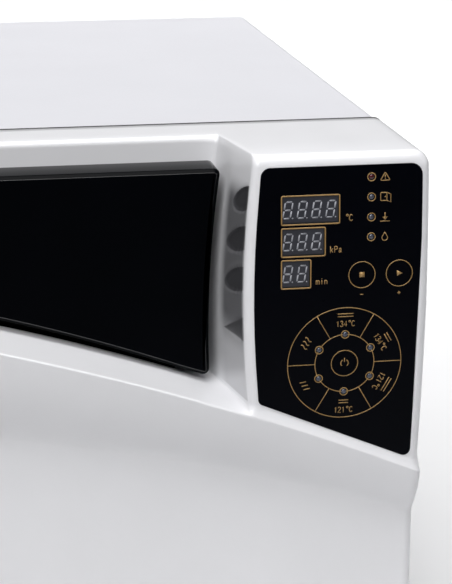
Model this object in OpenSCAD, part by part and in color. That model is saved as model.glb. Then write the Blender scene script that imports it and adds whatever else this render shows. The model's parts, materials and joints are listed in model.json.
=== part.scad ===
// Benchtop autoclave: full-front door with a wing handle and a control block,
// round pressure chamber, lock, water system and vacuum system.
// +Z up, front faces -Y, origin at the bottom centre of the whole machine, millimetres.

/* [Case] */
// Width of the moulded front
front_w = 380; // [360:1:420]
// Height to the top of the machine, feet included
case_h = 330; // [325:1:340]
// Depth from the front's bow to the rear edge of the cover
case_d = 504; // [480:1:540]
// Sheet thickness of the cover
cover_t = 1.5; // [1:0.5:2.5]
// Height of the rubber feet
foot_h = 14; // [10:1:20]
// Gap between the door and the cover
seam = 3; // [2:0.5:4]

/* [Door front] */
// Wall thickness of the moulded front
front_t = 3; // [2:0.5:4]
// Depth of the door from its rear rim to the front's bow
door_d = 95.5; // [90:0.5:100]
// Height of the door's lower edge
door_z = 60; // [50:1:70]
// Radius of the bowed front
bow_r = 924; // [800:1:1200]
// Height of the bow's foremost line
bow_z = 257.7; // [240:0.1:270]
// Depth of the recess wall behind the door's rear rim
recess_d = 35.5; // [30:0.5:40]
// Radius of the swept sill
sill_r = 1116; // [1000:1:1300]
// Radius of the swept lower step
step_r = 497; // [450:1:560]

/* [Handle] */
// Front-to-back thickness of the handle
handle_t = 25; // [18:1:26]
// Gap between the handle and the sill
handle_gap = 6; // [4:0.5:9]
// Diameter of the handle's pin
handle_pin_d = 5; // [4:0.5:6]

/* [Controls] */
// Thickness of the control overlay
overlay_t = 1; // [0.6:0.1:1.5]
// Diameter of the key caps
key_d = 12.4; // [11:0.1:12.6]
// Pitch of one display digit
digit_pitch = 7.5; // [7:0.1:8]
// Diameter of the lamps
lamp_d = 3; // [2:0.1:3.2]

/* [Chamber] */
// Bore of the pressure chamber
bore_d = 170; // [150:1:180]
// Length of the straight chamber wall
bore_l = 300; // [260:1:310]
// Wall of the chamber
vessel_t = 3; // [2:0.5:4]
// Thickness of the insulation
jacket_t = 22; // [15:1:24]

/* [Hidden] */
$fn = 64;
wide = 600;                          // longer than the machine, for cutting
front_y = -case_d / 2;               // foremost line of the bow
rear_y = case_d / 2;
rim_y = front_y + door_d;            // rear rim of the door
cover_y = rim_y + seam;              // front edge of the cover
hinge_y = rim_y + seam / 2;
knuckle_r = 5;
right_x = front_w / 2 + knuckle_r / 2;
left_x = right_x - front_w;          // left side of the door, where the hinge line stands
hinge_x = left_x;
cover_l = left_x + 2.5;              // the cover is a little narrower than the door
cover_r = right_x - 2.5;
wall_y = rim_y - recess_d;           // recess wall
bow_y = front_y + bow_r;
sill_x = -331;                       // centre of the swept sill and of the handle's lower edge
sill_z = -834.7;
step_x = -79;                        // centre of the swept lower step
step_z = -290;
lower_y = front_y + 10;              // flat lower face of the door
grip_xs = [-60, 66];                 // finger pocket in the sill, behind the handle's lower edge
grip_y = front_y + 39;
grip_depth = 16;
crease_x = 84.3;                     // foot of the block's side wall
crease_z = 228;
crease_r = 616;
draft = 11.8;                        // lean of the block's side wall in plan
brow_x = 96.5;                       // front edge of the block's side wall
brow_z = 256;
brow_r = 540;
lamp_x = 162.5;                      // column of status lamps
lamp_z = 317.4;
lamp_pitch = 10.45;
display_x = 115.15;                  // left edge of the display windows
display_z = 309.06;                  // top of the first window
display_step = 16.83;
display_h = 15.24;
digits = [4, 3, 2];
stop_x = 157.86;
start_x = 177.8;
keys_z = 266.1;
program_x = 149.5;
program_z = 218.25;
program_r = 15.87;                   // circle of program lamps
key_travel = 0.8;
key_clear = 0.25;                    // gap round a key cap
board_y = front_y + 14;              // front of the control board
fit = 0.05;                          // running clearance on a radius
chamber_x = -20;
chamber_z = 175;
flange_y = hinge_y - 0.5;            // sealing face of the chamber
vessel_r = bore_d / 2 + vessel_t;
flange_r = vessel_r + 16;
vessel_end = flange_y + bore_l;
valve_z = chamber_z + 50;            // safety valve in the chamber's end
valve_r = 5;
bulk_y = cover_y + 3.5;              // front of the bulkhead
bulk_t = 2;
flange_t = bulk_y - flange_y;         // the flange lies on the bulkhead
floor_z = foot_h;
pan_t = 1.5;
foot_r = 16;
foot_x = 150;
foot_y = 205;
pin_x = -160;                        // handle pivot
pin_y = front_y + 45;
handle_y0 = front_y + 31;            // front face of the handle
handle_top = case_h - 12;
handle_left = -168;
handle_right = 82;
hinge_zs = [110, 290];
lock_zs = [110, 250];
lock_y = cover_y + 10;
lock_x = 148;                        // left face of the keepers
lock_travel = 10;
lever_turn = 20;                     // swing of the lock lever, degrees
lever_r = lock_travel / 2 / sin(lever_turn / 2);
lever_z = 150;
bar_x = lock_x + 26;                 // left edge of the lock bar at rest
slot_x = bar_x + 5;
lever_x = slot_x - lever_r * sin(lever_turn / 2);
slot_z = lever_z + lever_r * cos(lever_turn / 2);
lid_x = -90;                         // water filler
lid_y = 205;
lid_r = 30;
neck_r = 20;
fan_x = 120;
fan_z = 250;
fan_r = 36;
inlet_x = 130;
inlet_z = 60;
switch_x = 135;                      // power switch on the lower front panel
panel_z0 = floor_z + pan_t;
panel_z1 = door_z - 2;
panel_y = front_y + 24;              // front of the lower panel
drain_xs = [-140, -100];

// ---- outlines and helpers ----

// Extrudes a drawing of X and Z from one Y to another.
module along_y(y0, y1) {
    translate([0, y1, 0]) rotate([90, 0, 0]) linear_extrude(y1 - y0) children();
}

// Extrudes a drawing of Y and Z from one X to another.
module along_x(x0, x1) {
    translate([x0, 0, 0]) rotate([90, 0, 90]) linear_extrude(x1 - x0) children();
}

// Box between two corners.
module block(a, b) {
    translate(a) cube(b - a);
}

// Round bar along Y.
module bar_y(x, z, r, y0, y1) {
    translate([x, y1, z]) rotate([90, 0, 0]) cylinder(h = y1 - y0, r = r);
}

// Round bar along X.
module bar_x(y, z, r, x0, x1) {
    translate([x0, y, z]) rotate([0, 90, 0]) cylinder(h = x1 - x0, r = r);
}

// Round bar along Z.
module bar_z(x, y, r, z0, z1) {
    translate([x, y, z0]) cylinder(h = z1 - z0, r = r);
}

// Rectangle with true round corners.
module round_rect(x0, y0, x1, y1, r) {
    translate([x0 + r, y0]) square([x1 - x0 - 2 * r, y1 - y0]);
    translate([x0, y0 + r]) square([x1 - x0, y1 - y0 - 2 * r]);
    for (x = [x0 + r, x1 - r])
        for (y = [y0 + r, y1 - r])
            translate([x, y]) circle(r);
}

// Arc of radius r that rounds corner b between a and c.
function unit(v) = v / norm(v);
function fillet(a, b, c, r, n = 6) =
    let (p = unit(a - b), q = unit(c - b), half = acos(p * q) / 2)
    let (centre = b + unit(p + q) * r / sin(half), start = b + p * r / tan(half), end = b + q * r / tan(half))
    let (a0 = atan2(start.y - centre.y, start.x - centre.x))
    let (a1 = atan2(end.y - centre.y, end.x - centre.x))
    let (turn = a1 - a0 > 180 ? a1 - a0 - 360 : (a1 - a0 < -180 ? a1 - a0 + 360 : a1 - a0))
    [for (i = [0 : n]) centre + r * [cos(a0 + turn * i / n), sin(a0 + turn * i / n)]];

// Closed outline whose corners [x, z, radius] are rounded; radius 0 keeps the point.
function rounded(p) = [
    for (i = [0 : len(p) - 1])
        let (b = p[i], a = p[(i + len(p) - 1) % len(p)], c = p[(i + 1) % len(p)])
        each b[2] == 0 ? [[b.x, b.y]] : fillet([a.x, a.y], [b.x, b.y], [c.x, c.y], b[2])
];

// Left edge of the control overlay.
function overlay_left(z) = 101 + (z - 255.8) * (z - 255.8) / 1080;

// ---- case ----

module base_pan() {
    color("lightgray")
    difference() {
        union() {
            block([cover_l + 2, panel_y + 1, floor_z], [cover_r - 2, rear_y - 4, floor_z + pan_t]);
            for (x = [cover_l + 2, cover_r - 2 - pan_t])
                block([x, bulk_y + bulk_t, floor_z], [x + pan_t, rear_y - 4, floor_z + 28]);
        }
        for (i = [0 : 9])
            block([20 + i * 9, 90, floor_z - 1], [24 + i * 9, 150, floor_z + pan_t + 1]);
    }
}

module rubber_feet() {
    color("dimgray")
    for (x = [-foot_x, foot_x])
        for (y = [-foot_y, foot_y])
            translate([x, y, 0])
                rotate_extrude()
                    polygon([[0, 0], [foot_r - 2, 0], [foot_r, 2], [foot_r - 2, foot_h], [0, foot_h]]);
}

module keeper_windows(y0, y1) {
    for (z = lock_zs)
        block([lock_x - 4, y0, z - 13], [lock_x + 9, y1, z + 13]);
}

module hinge_clearance(y0, y1, w = 7) {
    for (z = hinge_zs)
        block([hinge_x - 8, y0, z - 20], [hinge_x + w, y1, z + 20]);
}

module front_bulkhead() {
    color("silver")
    difference() {
        along_y(bulk_y, bulk_y + bulk_t)
            round_rect(cover_l + 2, floor_z + pan_t, cover_r - 2, case_h - 3, 4);
        bar_y(chamber_x, chamber_z, vessel_r + 0.5, bulk_y - 1, bulk_y + bulk_t + 1);
        keeper_windows(bulk_y - 1, bulk_y + bulk_t + 1);
        bar_y(140, 295, 2, bulk_y - 1, bulk_y + bulk_t + 1);
        block([120, bulk_y - 1, 22], [160, bulk_y + bulk_t + 1, 52]);
    }
}

module dust_seal() {
    color("black")
    difference() {
        along_y(cover_y - 1, bulk_y)
            round_rect(cover_l + 2.2, door_z + 4, cover_r - 2.2, case_h - 2, 4.5);
        block([cover_l + 8, cover_y - 2, door_z + 9], [cover_r - 8, bulk_y + 1, case_h - 8]);
        hinge_clearance(cover_y - 2, bulk_y + 1, 16);
    }
}

module top_cover() {
    color("whitesmoke")
    difference() {
        along_y(cover_y, rear_y) round_rect(cover_l, floor_z + 3, cover_r, case_h, 6);
        along_y(cover_y - 1, rear_y + 1)
            round_rect(cover_l + cover_t, floor_z - 9, cover_r - cover_t, case_h - cover_t, 6 - cover_t);
        block([cover_l - 1, cover_y - 1, floor_z], [cover_r + 1, rear_y + 1, floor_z + 10]);
        hinge_clearance(cover_y - 1, bulk_y + 3);
        bar_z(lid_x, lid_y, neck_r + 3, case_h - 5, case_h + 1);
        for (i = [0 : 11])
            block([cover_l - 2, 60 + i * 12, 70], [cover_r + 2, 64 + i * 12, 120]);
        for (x = [cover_l, cover_r])
            for (y = [-120, 50, 220])
                bar_x(y, floor_z + 18, 2, x - 3, x + 3);
    }
}

module rear_panel() {
    color("silver")
    difference() {
        along_y(rear_y - 4, rear_y - 2)
            round_rect(cover_l + 2, floor_z, cover_r - 2, case_h - 2, 4.5);
        bar_y(fan_x, fan_z, fan_r + 1, rear_y - 5, rear_y - 1);
        block([inlet_x - 14, rear_y - 5, inlet_z - 11], [inlet_x + 14, rear_y - 1, inlet_z + 11]);
        for (dx = [-32, -54])
            bar_y(inlet_x + dx, inlet_z, 6.1, rear_y - 5, rear_y - 1);
    }
}

module lower_panel() {
    color("white")
    difference() {
        block([left_x, panel_y, panel_z0], [right_x - 2.5, cover_y - 0.5, panel_z1]);
        block([left_x + 3, panel_y + 3, panel_z0 - 1], [right_x - 5.5, cover_y, panel_z1 - 3]);
        block([switch_x - 13.2, panel_y - 1, 26], [switch_x + 13.2, panel_y + 4, 46]);
        for (x = drain_xs)
            bar_y(x, 36, 7, panel_y - 1, panel_y + 4);
        bar_y(60, 36, 13, panel_y - 1, panel_y + 4);
    }
}

// ---- pressure chamber ----

module chamber_vessel() {
    color("gainsboro")
    difference() {
        translate([chamber_x, flange_y, chamber_z])
            rotate([-90, 0, 0])
                rotate_extrude($fn = 96)
                    polygon([
                        [bore_d / 2, 0], [flange_r, 0], [flange_r, flange_t], [vessel_r, flange_t],
                        [vessel_r, bore_l], [vessel_r * 0.8, bore_l + 14], [vessel_r * 0.4, bore_l + 21],
                        [0, bore_l + 23], [0, bore_l + 20], [bore_d * 0.2, bore_l + 18],
                        [bore_d * 0.4, bore_l + 11], [bore_d / 2, bore_l - 1]
                    ]);
        bar_y(chamber_x, valve_z, valve_r + fit, vessel_end, vessel_end + 30);
    }
}

module insulation_jacket() {
    color("tan")
    difference() {
        bar_y(chamber_x, chamber_z, vessel_r + 3 + jacket_t, bulk_y + 8, vessel_end - 6);
        bar_y(chamber_x, chamber_z, vessel_r + 3, bulk_y + 7, vessel_end);
    }
}

module heater_bands() {
    color("goldenrod")
    for (y = [-90, 20])
        difference() {
            bar_y(chamber_x, chamber_z, vessel_r + 2.5, y, y + 50);
            bar_y(chamber_x, chamber_z, vessel_r, y - 1, y + 51);
        }
}

rack_y0 = flange_y + 14;
rack_y1 = flange_y + 280;
tray_zs = [chamber_z - 42, chamber_z - 2];

// Strip of the rack that runs the length of the chamber.
module rack_bar(x, w, z0, z1) {
    block([chamber_x + x - w / 2, rack_y0, z0], [chamber_x + x + w / 2, rack_y1, z1]);
}

module tray_rack() {
    color("silver")
    for (side = [-1, 1]) {
        rack_bar(side * 64, 2, chamber_z - 50, chamber_z + 30);
        for (z = tray_zs)
            rack_bar(side * 60.5, 6, z - 3.5, z - 2);
        rack_bar(side * 39, 2, chamber_z - 74.9, chamber_z - 46);
    }
    for (y = [rack_y0, rack_y1 - 2]) {
        block([chamber_x - 63, y, chamber_z - 50], [chamber_x + 63, y + 2, chamber_z - 46]);
        block([chamber_x - 63, y, chamber_z + 26], [chamber_x + 63, y + 2, chamber_z + 30]);
    }
}

module tray(z) {
    color("gainsboro")
    difference() {
        block([chamber_x - 61, rack_y0 + 4, z - 2], [chamber_x + 61, rack_y1 - 6, z + 14]);
        block([chamber_x - 59.8, rack_y0 + 5.2, z - 0.7], [chamber_x + 59.8, rack_y1 - 7.2, z + 15]);
        for (i = [0 : 4])
            for (j = [0 : 8])
                bar_z(chamber_x - 44 + i * 22, rack_y0 + 24 + j * 27, 3, z - 3, z + 1);
    }
}

module lower_tray() {
    tray(tray_zs[0]);
}

module upper_tray() {
    tray(tray_zs[1]);
}

// ---- water, steam and vacuum ----

module steam_generator() {
    color("silver")
    union() {
        bar_y(70, 45, 22, -80, 40);
        bar_y(70, 45, 26, -80, -74);
        bar_y(70, 45, 5, 40, 52);
        bar_z(70, -20, 5, 60, 72);
        for (y = [-60, 20])
            block([52, y, floor_z + pan_t], [88, y + 6, 40]);
    }
}

module water_tank() {
    color("aliceblue")
    difference() {
        union() {
            block([-178, 182, 120], [66, 240, 300]);
            bar_z(lid_x, lid_y, neck_r + 2, 296, case_h - 3);
        }
        block([-175, 185, 123], [63, 237, 297]);
        bar_z(lid_x, lid_y, neck_r, 290, case_h);
    }
}

module filler_lid() {
    color("lightgray")
    difference() {
        union() {
            bar_z(lid_x, lid_y, lid_r, case_h + 0.4, case_h + 5);
            bar_z(lid_x, lid_y, neck_r - 1.5, case_h - 8, case_h + 1);
            block([lid_x - 9, lid_y + lid_r - 4, case_h + 0.4], [lid_x + 9, lid_y + lid_r + 4, case_h + 4]);
            bar_x(lid_y + lid_r + 4.5, case_h + 3.4, 3, lid_x - 9, lid_x + 9);
        }
        bar_x(lid_y + lid_r + 4.5, case_h + 3.4, 1.5 + fit, lid_x - 10, lid_x + 10);
    }
}

module filler_hinge() {
    color("gray")
    union() {
        bar_x(lid_y + lid_r + 4.5, case_h + 3.4, 1.5, lid_x - 15, lid_x + 15);
        for (side = [-1, 1])
            translate([lid_x + side * 12.5, 0, 0]) {
                bar_x(lid_y + lid_r + 4.5, case_h + 3.4, 3, -2.5, 2.5);
                block([-2.5, lid_y + lid_r + 2, case_h], [2.5, lid_y + lid_r + 7, case_h + 3.4]);
            }
    }
}

module vacuum_pump() {
    color("darkslategray")
    union() {
        block([118, 60, floor_z + pan_t], [172, 130, floor_z + 60]);
        bar_y(145, floor_z + 34, 24, 130, 200);
        block([124, 70, floor_z + 60], [166, 118, floor_z + 82]);
    }
}

module water_pump() {
    color("dimgray")
    union() {
        bar_y(-110, floor_z + 26, 18, 60, 110);
        block([-130, 36, floor_z + pan_t], [-90, 60, floor_z + 48]);
    }
}

module condenser() {
    color("orange")
    difference() {
        union() {
            for (i = [0 : 11])
                block([84, 186 + i * 3, fan_z - 34], [156, 187 + i * 3, fan_z + 34]);
            for (x = [92, 148])
                for (j = [0 : 3])
                    bar_y(x, fan_z - 27 + j * 18, 4, 182, 224);
        }
        for (x = [92, 148])
            for (j = [0 : 3])
                bar_y(x, fan_z - 27 + j * 18, 3, 181, 225);
    }
}

module fan_frame() {
    color("black")
    difference() {
        block([fan_x - 40, 226, fan_z - 40], [fan_x + 40, rear_y - 4, fan_z + 40]);
        bar_y(fan_x, fan_z, fan_r, 225, rear_y - 3);
    }
    color("black")
    difference() {
        union() {
            bar_y(fan_x, fan_z, 12, rear_y - 8, rear_y - 5);
            for (turn = [45 : 90 : 315])
                translate([fan_x, 0, fan_z]) rotate([0, turn, 0])
                    block([10, rear_y - 8, -2], [fan_r + 1, rear_y - 5, 2]);
        }
        bar_y(fan_x, fan_z, 1.5, rear_y - 9, rear_y - 4);
    }
}

module fan_rotor() {
    color("dimgray")
    union() {
        bar_y(fan_x, fan_z, 11, 228, 240);
        bar_y(fan_x, fan_z, 1.5 - fit, 239, rear_y - 5);
        for (k = [0 : 6])
            translate([fan_x, 234, fan_z]) rotate([0, k * 360 / 7, 0])
                translate([9, 0, 0]) rotate([30, 0, 0]) translate([0, -0.6, -9])
                    cube([25, 1.2, 18]);
    }
}

module solenoid_valves() {
    color("goldenrod")
    for (i = [0 : 3])
        translate([0, 66 + i * 26, 0])
            union() {
                block([-178, -8, floor_z + pan_t], [-154, 8, 34]);
                bar_z(-166, 0, 9, 34, 58);
            }
}

module safety_valve() {
    color("gold")
    union() {
        bar_y(chamber_x, valve_z, valve_r, vessel_end + 14, vessel_end + 24);
        bar_y(chamber_x, valve_z, valve_r + 3, vessel_end + 21, vessel_end + 34);
    }
}

// A round pipe of legs along the axes, with a ball at each bend.
module pipe(points, r) {
    for (i = [0 : len(points) - 2]) {
        a = points[i];
        b = points[i + 1];
        d = b - a;
        if (abs(d.x) > 0) bar_x(a.y, a.z, r, min(a.x, b.x), max(a.x, b.x));
        if (abs(d.y) > 0) bar_y(a.x, a.z, r, min(a.y, b.y), max(a.y, b.y));
        if (abs(d.z) > 0) bar_z(a.x, a.y, r, min(a.z, b.z), max(a.z, b.z));
    }
    for (i = [1 : 1 : len(points) - 2])
        translate(points[i]) sphere(r);
}

module pipes() {
    color("peru")
    union() {
        pipe([[-110, 110, 40], [-110, 174, 40], [-110, 174, 112], [-110, 200, 112], [-110, 200, 120]], 3);
        pipe([
            [70, -20, 72], [70, -20, 78], [99, -20, 78], [99, 120, 78], [99, 120, 259], [99, 174, 259],
            [92, 174, 259], [92, 182, 259]
        ], 4);
        pipe([[70, 52, 45], [70, 95, 45], [118, 95, 45]], 3);
        pipe([[-166, 50, 61.1], [-166, 160, 61.1]], 3);
    }
}

module power_board() {
    color("darkgreen")
    union() {
        block([179, -80, 100], [180.6, 40, 230]);
        block([150, -60, 120], [179, -30, 160]);
        block([164, -10, 180], [179, 24, 210]);
        bar_x(10, 140, 11, 156, 179);
    }
}

module mains_inlet() {
    color("black")
    difference() {
        union() {
            block([inlet_x - 13.8, rear_y - 26, inlet_z - 10.8], [inlet_x + 13.8, rear_y - 2, inlet_z + 10.8]);
            block([inlet_x - 20, rear_y - 2, inlet_z - 14], [inlet_x + 20, rear_y, inlet_z + 14]);
        }
        block([inlet_x - 12, rear_y - 20, inlet_z - 8.5], [inlet_x + 12, rear_y + 1, inlet_z + 8.5]);
    }
    color("silver")
    for (dx = [-7, 0, 7])
        block([inlet_x + dx - 1, rear_y - 21, inlet_z - 2.5], [inlet_x + dx + 1, rear_y - 5, inlet_z + 2.5]);
}

module fuse_holders() {
    color("black")
    for (dx = [-32, -54])
        union() {
            bar_y(inlet_x + dx, inlet_z, 6, rear_y - 30, rear_y - 2);
            bar_y(inlet_x + dx, inlet_z, 7.5, rear_y - 2, rear_y - 0.2);
        }
}

rocker_y = panel_y + 2;

module switch_bezel() {
    color("black")
    difference() {
        union() {
            block([switch_x - 15, panel_y - 1.5, 24], [switch_x + 15, panel_y, 48]);
            block([switch_x - 13, panel_y, 26.2], [switch_x + 13, panel_y + 20, 45.8]);
        }
        block([switch_x - 11, panel_y - 2, 28], [switch_x + 11, panel_y + 14, 44]);
        bar_x(rocker_y + 4, 36, 1.5, switch_x - 12.5, switch_x + 12.5);
    }
}

module power_rocker() {
    color("black")
    union() {
        bar_x(rocker_y + 4, 36, 1.5 - fit, switch_x - 12, switch_x + 12);
        along_x(switch_x - 10.5, switch_x + 10.5)
            polygon([
                [rocker_y - 4, 30.5], [rocker_y - 1.6, 36], [rocker_y - 1.6, 42.5], [rocker_y + 6, 41],
                [rocker_y + 8, 36], [rocker_y + 6, 31]
            ]);
    }
}

module drain_bodies() {
    color("silver")
    for (x = drain_xs)
        difference() {
            union() {
                bar_y(x, 36, 6.8, panel_y, panel_y + 24);
                bar_y(x, 36, 9, panel_y - 3, panel_y);
                bar_z(x, panel_y + 16, 5, 22, 36);
            }
            bar_y(x, 36, 3, panel_y - 4, panel_y + 14);
        }
}

module drain_knob(x, tint) {
    color(tint)
    union() {
        bar_y(x, 36, 3 - fit, panel_y - 4, panel_y + 13);
        difference() {
            bar_y(x, 36, 10, panel_y - 11, panel_y - 3.3);
            for (turn = [0 : 45 : 315])
                translate([x, 0, 36]) rotate([0, turn, 0]) bar_y(11.5, 0, 3, panel_y - 12, panel_y - 3);
        }
        block([x - 1.6, panel_y - 12.5, 36], [x + 1.6, panel_y - 10.9, 45]);
    }
}

module drain_knob_clean() {
    drain_knob(drain_xs[0], "steelblue");
}

module drain_knob_used() {
    drain_knob(drain_xs[1], "gray");
}

module air_filter() {
    color("white")
    union() {
        bar_y(60, 36, 12.7, panel_y - 9, panel_y + 8);
        bar_y(60, 36, 15, panel_y - 2, panel_y);
        bar_y(60, 36, 9, panel_y + 8, panel_y + 34);
        bar_y(60, 36, 4, panel_y + 34, panel_y + 46);
    }
}

// ---- hinge and lock ----

module hinge_leaf(z, plate_y, front_side) {
    // knuckles: the door carries the middle one, the body carries the two outer ones
    spans = front_side ? [[-6.9, 6.9]] : [[-17, -7.1], [7.1, 17]];
    edge_y = front_side ? plate_y : plate_y + 2;
    difference() {
        union() {
            for (s = spans) {
                bar_z(hinge_x, hinge_y, knuckle_r, z + s[0], z + s[1]);
                block(
                    [hinge_x, min(edge_y, hinge_y), z + s[0]],
                    [hinge_x + 7, max(edge_y, hinge_y), z + s[1]]
                );
            }
            block([hinge_x + 6, plate_y, z - 17], [hinge_x + 28, plate_y + 2, z + 17]);
        }
        bar_z(hinge_x, hinge_y, 2 + (front_side ? fit : 0), z - 18, z + 18);
        for (dz = [-10, 10])
            bar_y(hinge_x + 20, z + dz, 2, plate_y - 1, plate_y + 3);
    }
}

module body_hinge_leaves() {
    color("silver")
    for (z = hinge_zs)
        hinge_leaf(z, bulk_y - 2, false);
}

module door_hinge_leaves() {
    color("silver")
    for (z = hinge_zs)
        hinge_leaf(z, rim_y - 5, true);
}

module hinge_pins() {
    color("gray")
    for (z = hinge_zs)
        union() {
            bar_z(hinge_x, hinge_y, 2, z - 17, z + 17);
            for (dz = [-18, 17])
                bar_z(hinge_x, hinge_y, 3, z + dz, z + dz + 1);
        }
}

module lock_guides() {
    color("silver")
    for (z = lock_zs)
        difference() {
            block([lock_x + 10, bulk_y + bulk_t, z - 8], [lock_x + 16, lock_y + 8, z + 8]);
            bar_x(lock_y, z, 4 + fit, lock_x + 9, lock_x + 17);
        }
}

module lock_bar() {
    color("gray")
    difference() {
        union() {
            block([bar_x, lock_y - 2, lock_zs[0] - 8], [bar_x + 10, lock_y + 2, lock_zs[1] + 8]);
            for (z = lock_zs)
                bar_x(lock_y, z, 4, lock_x + 7, bar_x + 2);
        }
        for (dz = [-1.2, 1.2])
            bar_y(slot_x, slot_z + dz, 3.15, lock_y - 5, lock_y + 5);
        block([slot_x - 3.15, lock_y - 5, slot_z - 1.2], [slot_x + 3.15, lock_y + 5, slot_z + 1.2]);
    }
}

module lock_lever() {
    color("goldenrod")
    translate([lever_x, 0, lever_z]) rotate([0, lever_turn / 2, 0])
        union() {
            bar_y(0, 0, 7, lock_y + 2.5, lock_y + 6.5);
            block([-4, lock_y + 2.5, 0], [4, lock_y + 6.5, lever_r]);
            bar_y(0, lever_r, 4, lock_y + 2.5, lock_y + 6.5);
            bar_y(0, lever_r, 3, lock_y - 2, lock_y + 3);
            bar_y(0, 0, 3 - fit, lock_y + 6, lock_y + 15);
        }
}

module lock_motor() {
    color("dimgray")
    difference() {
        union() {
            bar_y(lever_x, lever_z, 10.5, lock_y + 7, lock_y + 50);
            block([lever_x - 10, lock_y + 7, lever_z - 18], [lever_x + 10, lock_y + 9, lever_z + 18]);
        }
        bar_y(lever_x, lever_z, 3, lock_y + 6, lock_y + 16);
    }
}

module door_switch() {
    color("black")
    union() {
        block([130, bulk_y + bulk_t, 290], [150, bulk_y + bulk_t + 10, 300]);
        bar_y(140, 295, 1.5, bulk_y + bulk_t - 4.5, bulk_y + bulk_t);
    }
}

module cover_screws() {
    color("silver")
    for (y = [-120, 50, 220]) {
        bar_x(y, floor_z + 18, 3.5, cover_l - 1.2, cover_l);
        bar_x(y, floor_z + 18, 3.5, cover_r, cover_r + 1.2);
    }
}

module rear_screws() {
    color("silver")
    for (x = [cover_l + 12, cover_r - 12])
        for (z = [floor_z + 10, 170, case_h - 14])
            bar_y(x, z, 3.5, rear_y - 2, rear_y - 0.8);
}

// ---- door ----

// Region above the swept sill and left of a shallow arc, grown by t.
module above_sill(edge_x, edge_z, edge_r, t) {
    difference() {
        translate([left_x - 20, door_z]) square([330, case_h]);
        translate([sill_x, sill_z]) circle(sill_r - t, $fn = 720);
        translate([edge_x + edge_r, edge_z]) circle(edge_r, $fn = 720);
    }
}

// The moulded front, shrunk by t all over; t = 0 is its outside.
module front_form(t) {
    step = step_r - t;
    difference() {
        intersection() {
            along_y(front_y - 5, rim_y + (t > 0 ? 1 : 0))
                round_rect(left_x + t, door_z + t, right_x - t, case_h - t, 9 - t);
            bar_x(bow_y, bow_z, bow_r - t, left_x - 1, right_x + 1, $fn = 360);
            along_x(left_x - 1, right_x + 1)
                round_rect(front_y - 1 + t, door_z - 20, rim_y + 20, case_h - t, 6 - t);
        }
        // open recess above the sill, up to the foot of the block's side wall
        along_y(front_y - 20, wall_y + t) above_sill(crease_x + t, crease_z, crease_r, t);
        // drafted upper part of that wall
        intersection() {
            along_y(front_y - 20, wall_y + t) above_sill(brow_x + t, brow_z, brow_r, t);
            translate([crease_x, wall_y, 0]) rotate([0, 0, draft])
                block([-wide + t, -wide / 2, 0], [t, wide / 2, case_h + 20]);
        }
        // finger pocket in the sill
        along_y(grip_y - t, wall_y + t)
            difference() {
                translate([grip_xs[0] - t, 180]) square([grip_xs[1] - grip_xs[0] + 2 * t, 90]);
                translate([sill_x, sill_z]) circle(sill_r - grip_depth - t, $fn = 720);
            }
        // flat lower face, set back behind the bow
        along_y(front_y - 20, lower_y + t)
            intersection() {
                translate([left_x - 10, door_z - 10]) square([front_w + 20, 220]);
                translate([step_x, step_z]) circle(step + 2 * t, $fn = 720);
            }
    }
}

module panel_holes(y0, y1) {
    for (k = [0 : 3])
        bar_y(lamp_x, lamp_z - k * lamp_pitch, lamp_d / 2, y0, y1);
    for (k = [0 : 5])
        bar_y(
            program_x + program_r * sin(60 * k), program_z + program_r * cos(60 * k), lamp_d / 2, y0, y1
        );
    for (p = [[stop_x, keys_z], [start_x, keys_z], [program_x, program_z]])
        bar_y(p.x, p.y, key_d / 2 + key_clear, y0, y1);
}

module display_windows(y0, y1, inset) {
    for (k = [0 : 2])
        block(
            [display_x + inset, y0, display_z - k * display_step - display_h + inset],
            [display_x + digits[k] * digit_pitch + 0.7 - inset, y1, display_z - k * display_step - inset]
        );
}

strip_y = [-53, -24];                // along the block's side wall from its foot
strip_z = [213, 306];
dimple_zs = [300.5, 280, 259.6];
dimple_z = 6.6;                      // half height and half width of a dimple
dimple_y = 15;

// Turns its children on to the block's side wall: X into the wall, Y back along it.
module on_side_wall() {
    translate([crease_x, wall_y, 0]) rotate([0, 0, draft]) children();
}

module strip_cut(depth) {
    on_side_wall() block([-3, strip_y[0], strip_z[0]], [depth, strip_y[1], strip_z[1]]);
}

module door_front() {
    color("white")
    difference() {
        front_form(0);
        front_form(front_t);
        panel_holes(front_y - 5, front_y + 12);
        display_windows(front_y - 5, front_y + 12, 0.5);
        // seat of the overlay
        intersection() {
            along_y(front_y - 5, front_y + 12) overlay_outline(-0.15);
            difference() {
                bar_x(bow_y, bow_z, bow_r + 20, left_x, right_x, $fn = 360);
                bar_x(bow_y, bow_z, bow_r - overlay_t, left_x - 1, right_x + 1, $fn = 360);
            }
        }
        hinge_clearance(rim_y - 6.5, rim_y + 1);
        bar_z(pin_x, pin_y, handle_pin_d / 2, 260, 275);
        strip_cut(1.6);
    }
}

module overlay_outline(grow) {
    left = [for (z = [205 : 15 : 310]) [overlay_left(z) + grow, z, 0]];
    polygon(rounded(concat(
        [[103.9 + grow, 197.9 + grow, 3.5]],
        left,
        [[104.9 + grow, 323.8 - grow, 5]],
        [[189.6 - grow, 323.8 - grow, 6]],
        [[189.5 - grow, 285, 0]],
        [[187.7 - grow, 225, 0]],
        [[187.1 - grow, 161.8 + grow, 3.5]]
    )));
}

module control_overlay() {
    color("black")
    difference() {
        intersection() {
            along_y(front_y - 5, front_y + 12) overlay_outline(0);
            difference() {
                bar_x(bow_y, bow_z, bow_r, left_x, right_x, $fn = 360);
                bar_x(bow_y, bow_z, bow_r - overlay_t, left_x - 1, right_x + 1, $fn = 360);
            }
        }
        panel_holes(front_y - 5, front_y + 12);
        display_windows(front_y - 5, front_y + 12, 0.5);
    }
}

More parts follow.
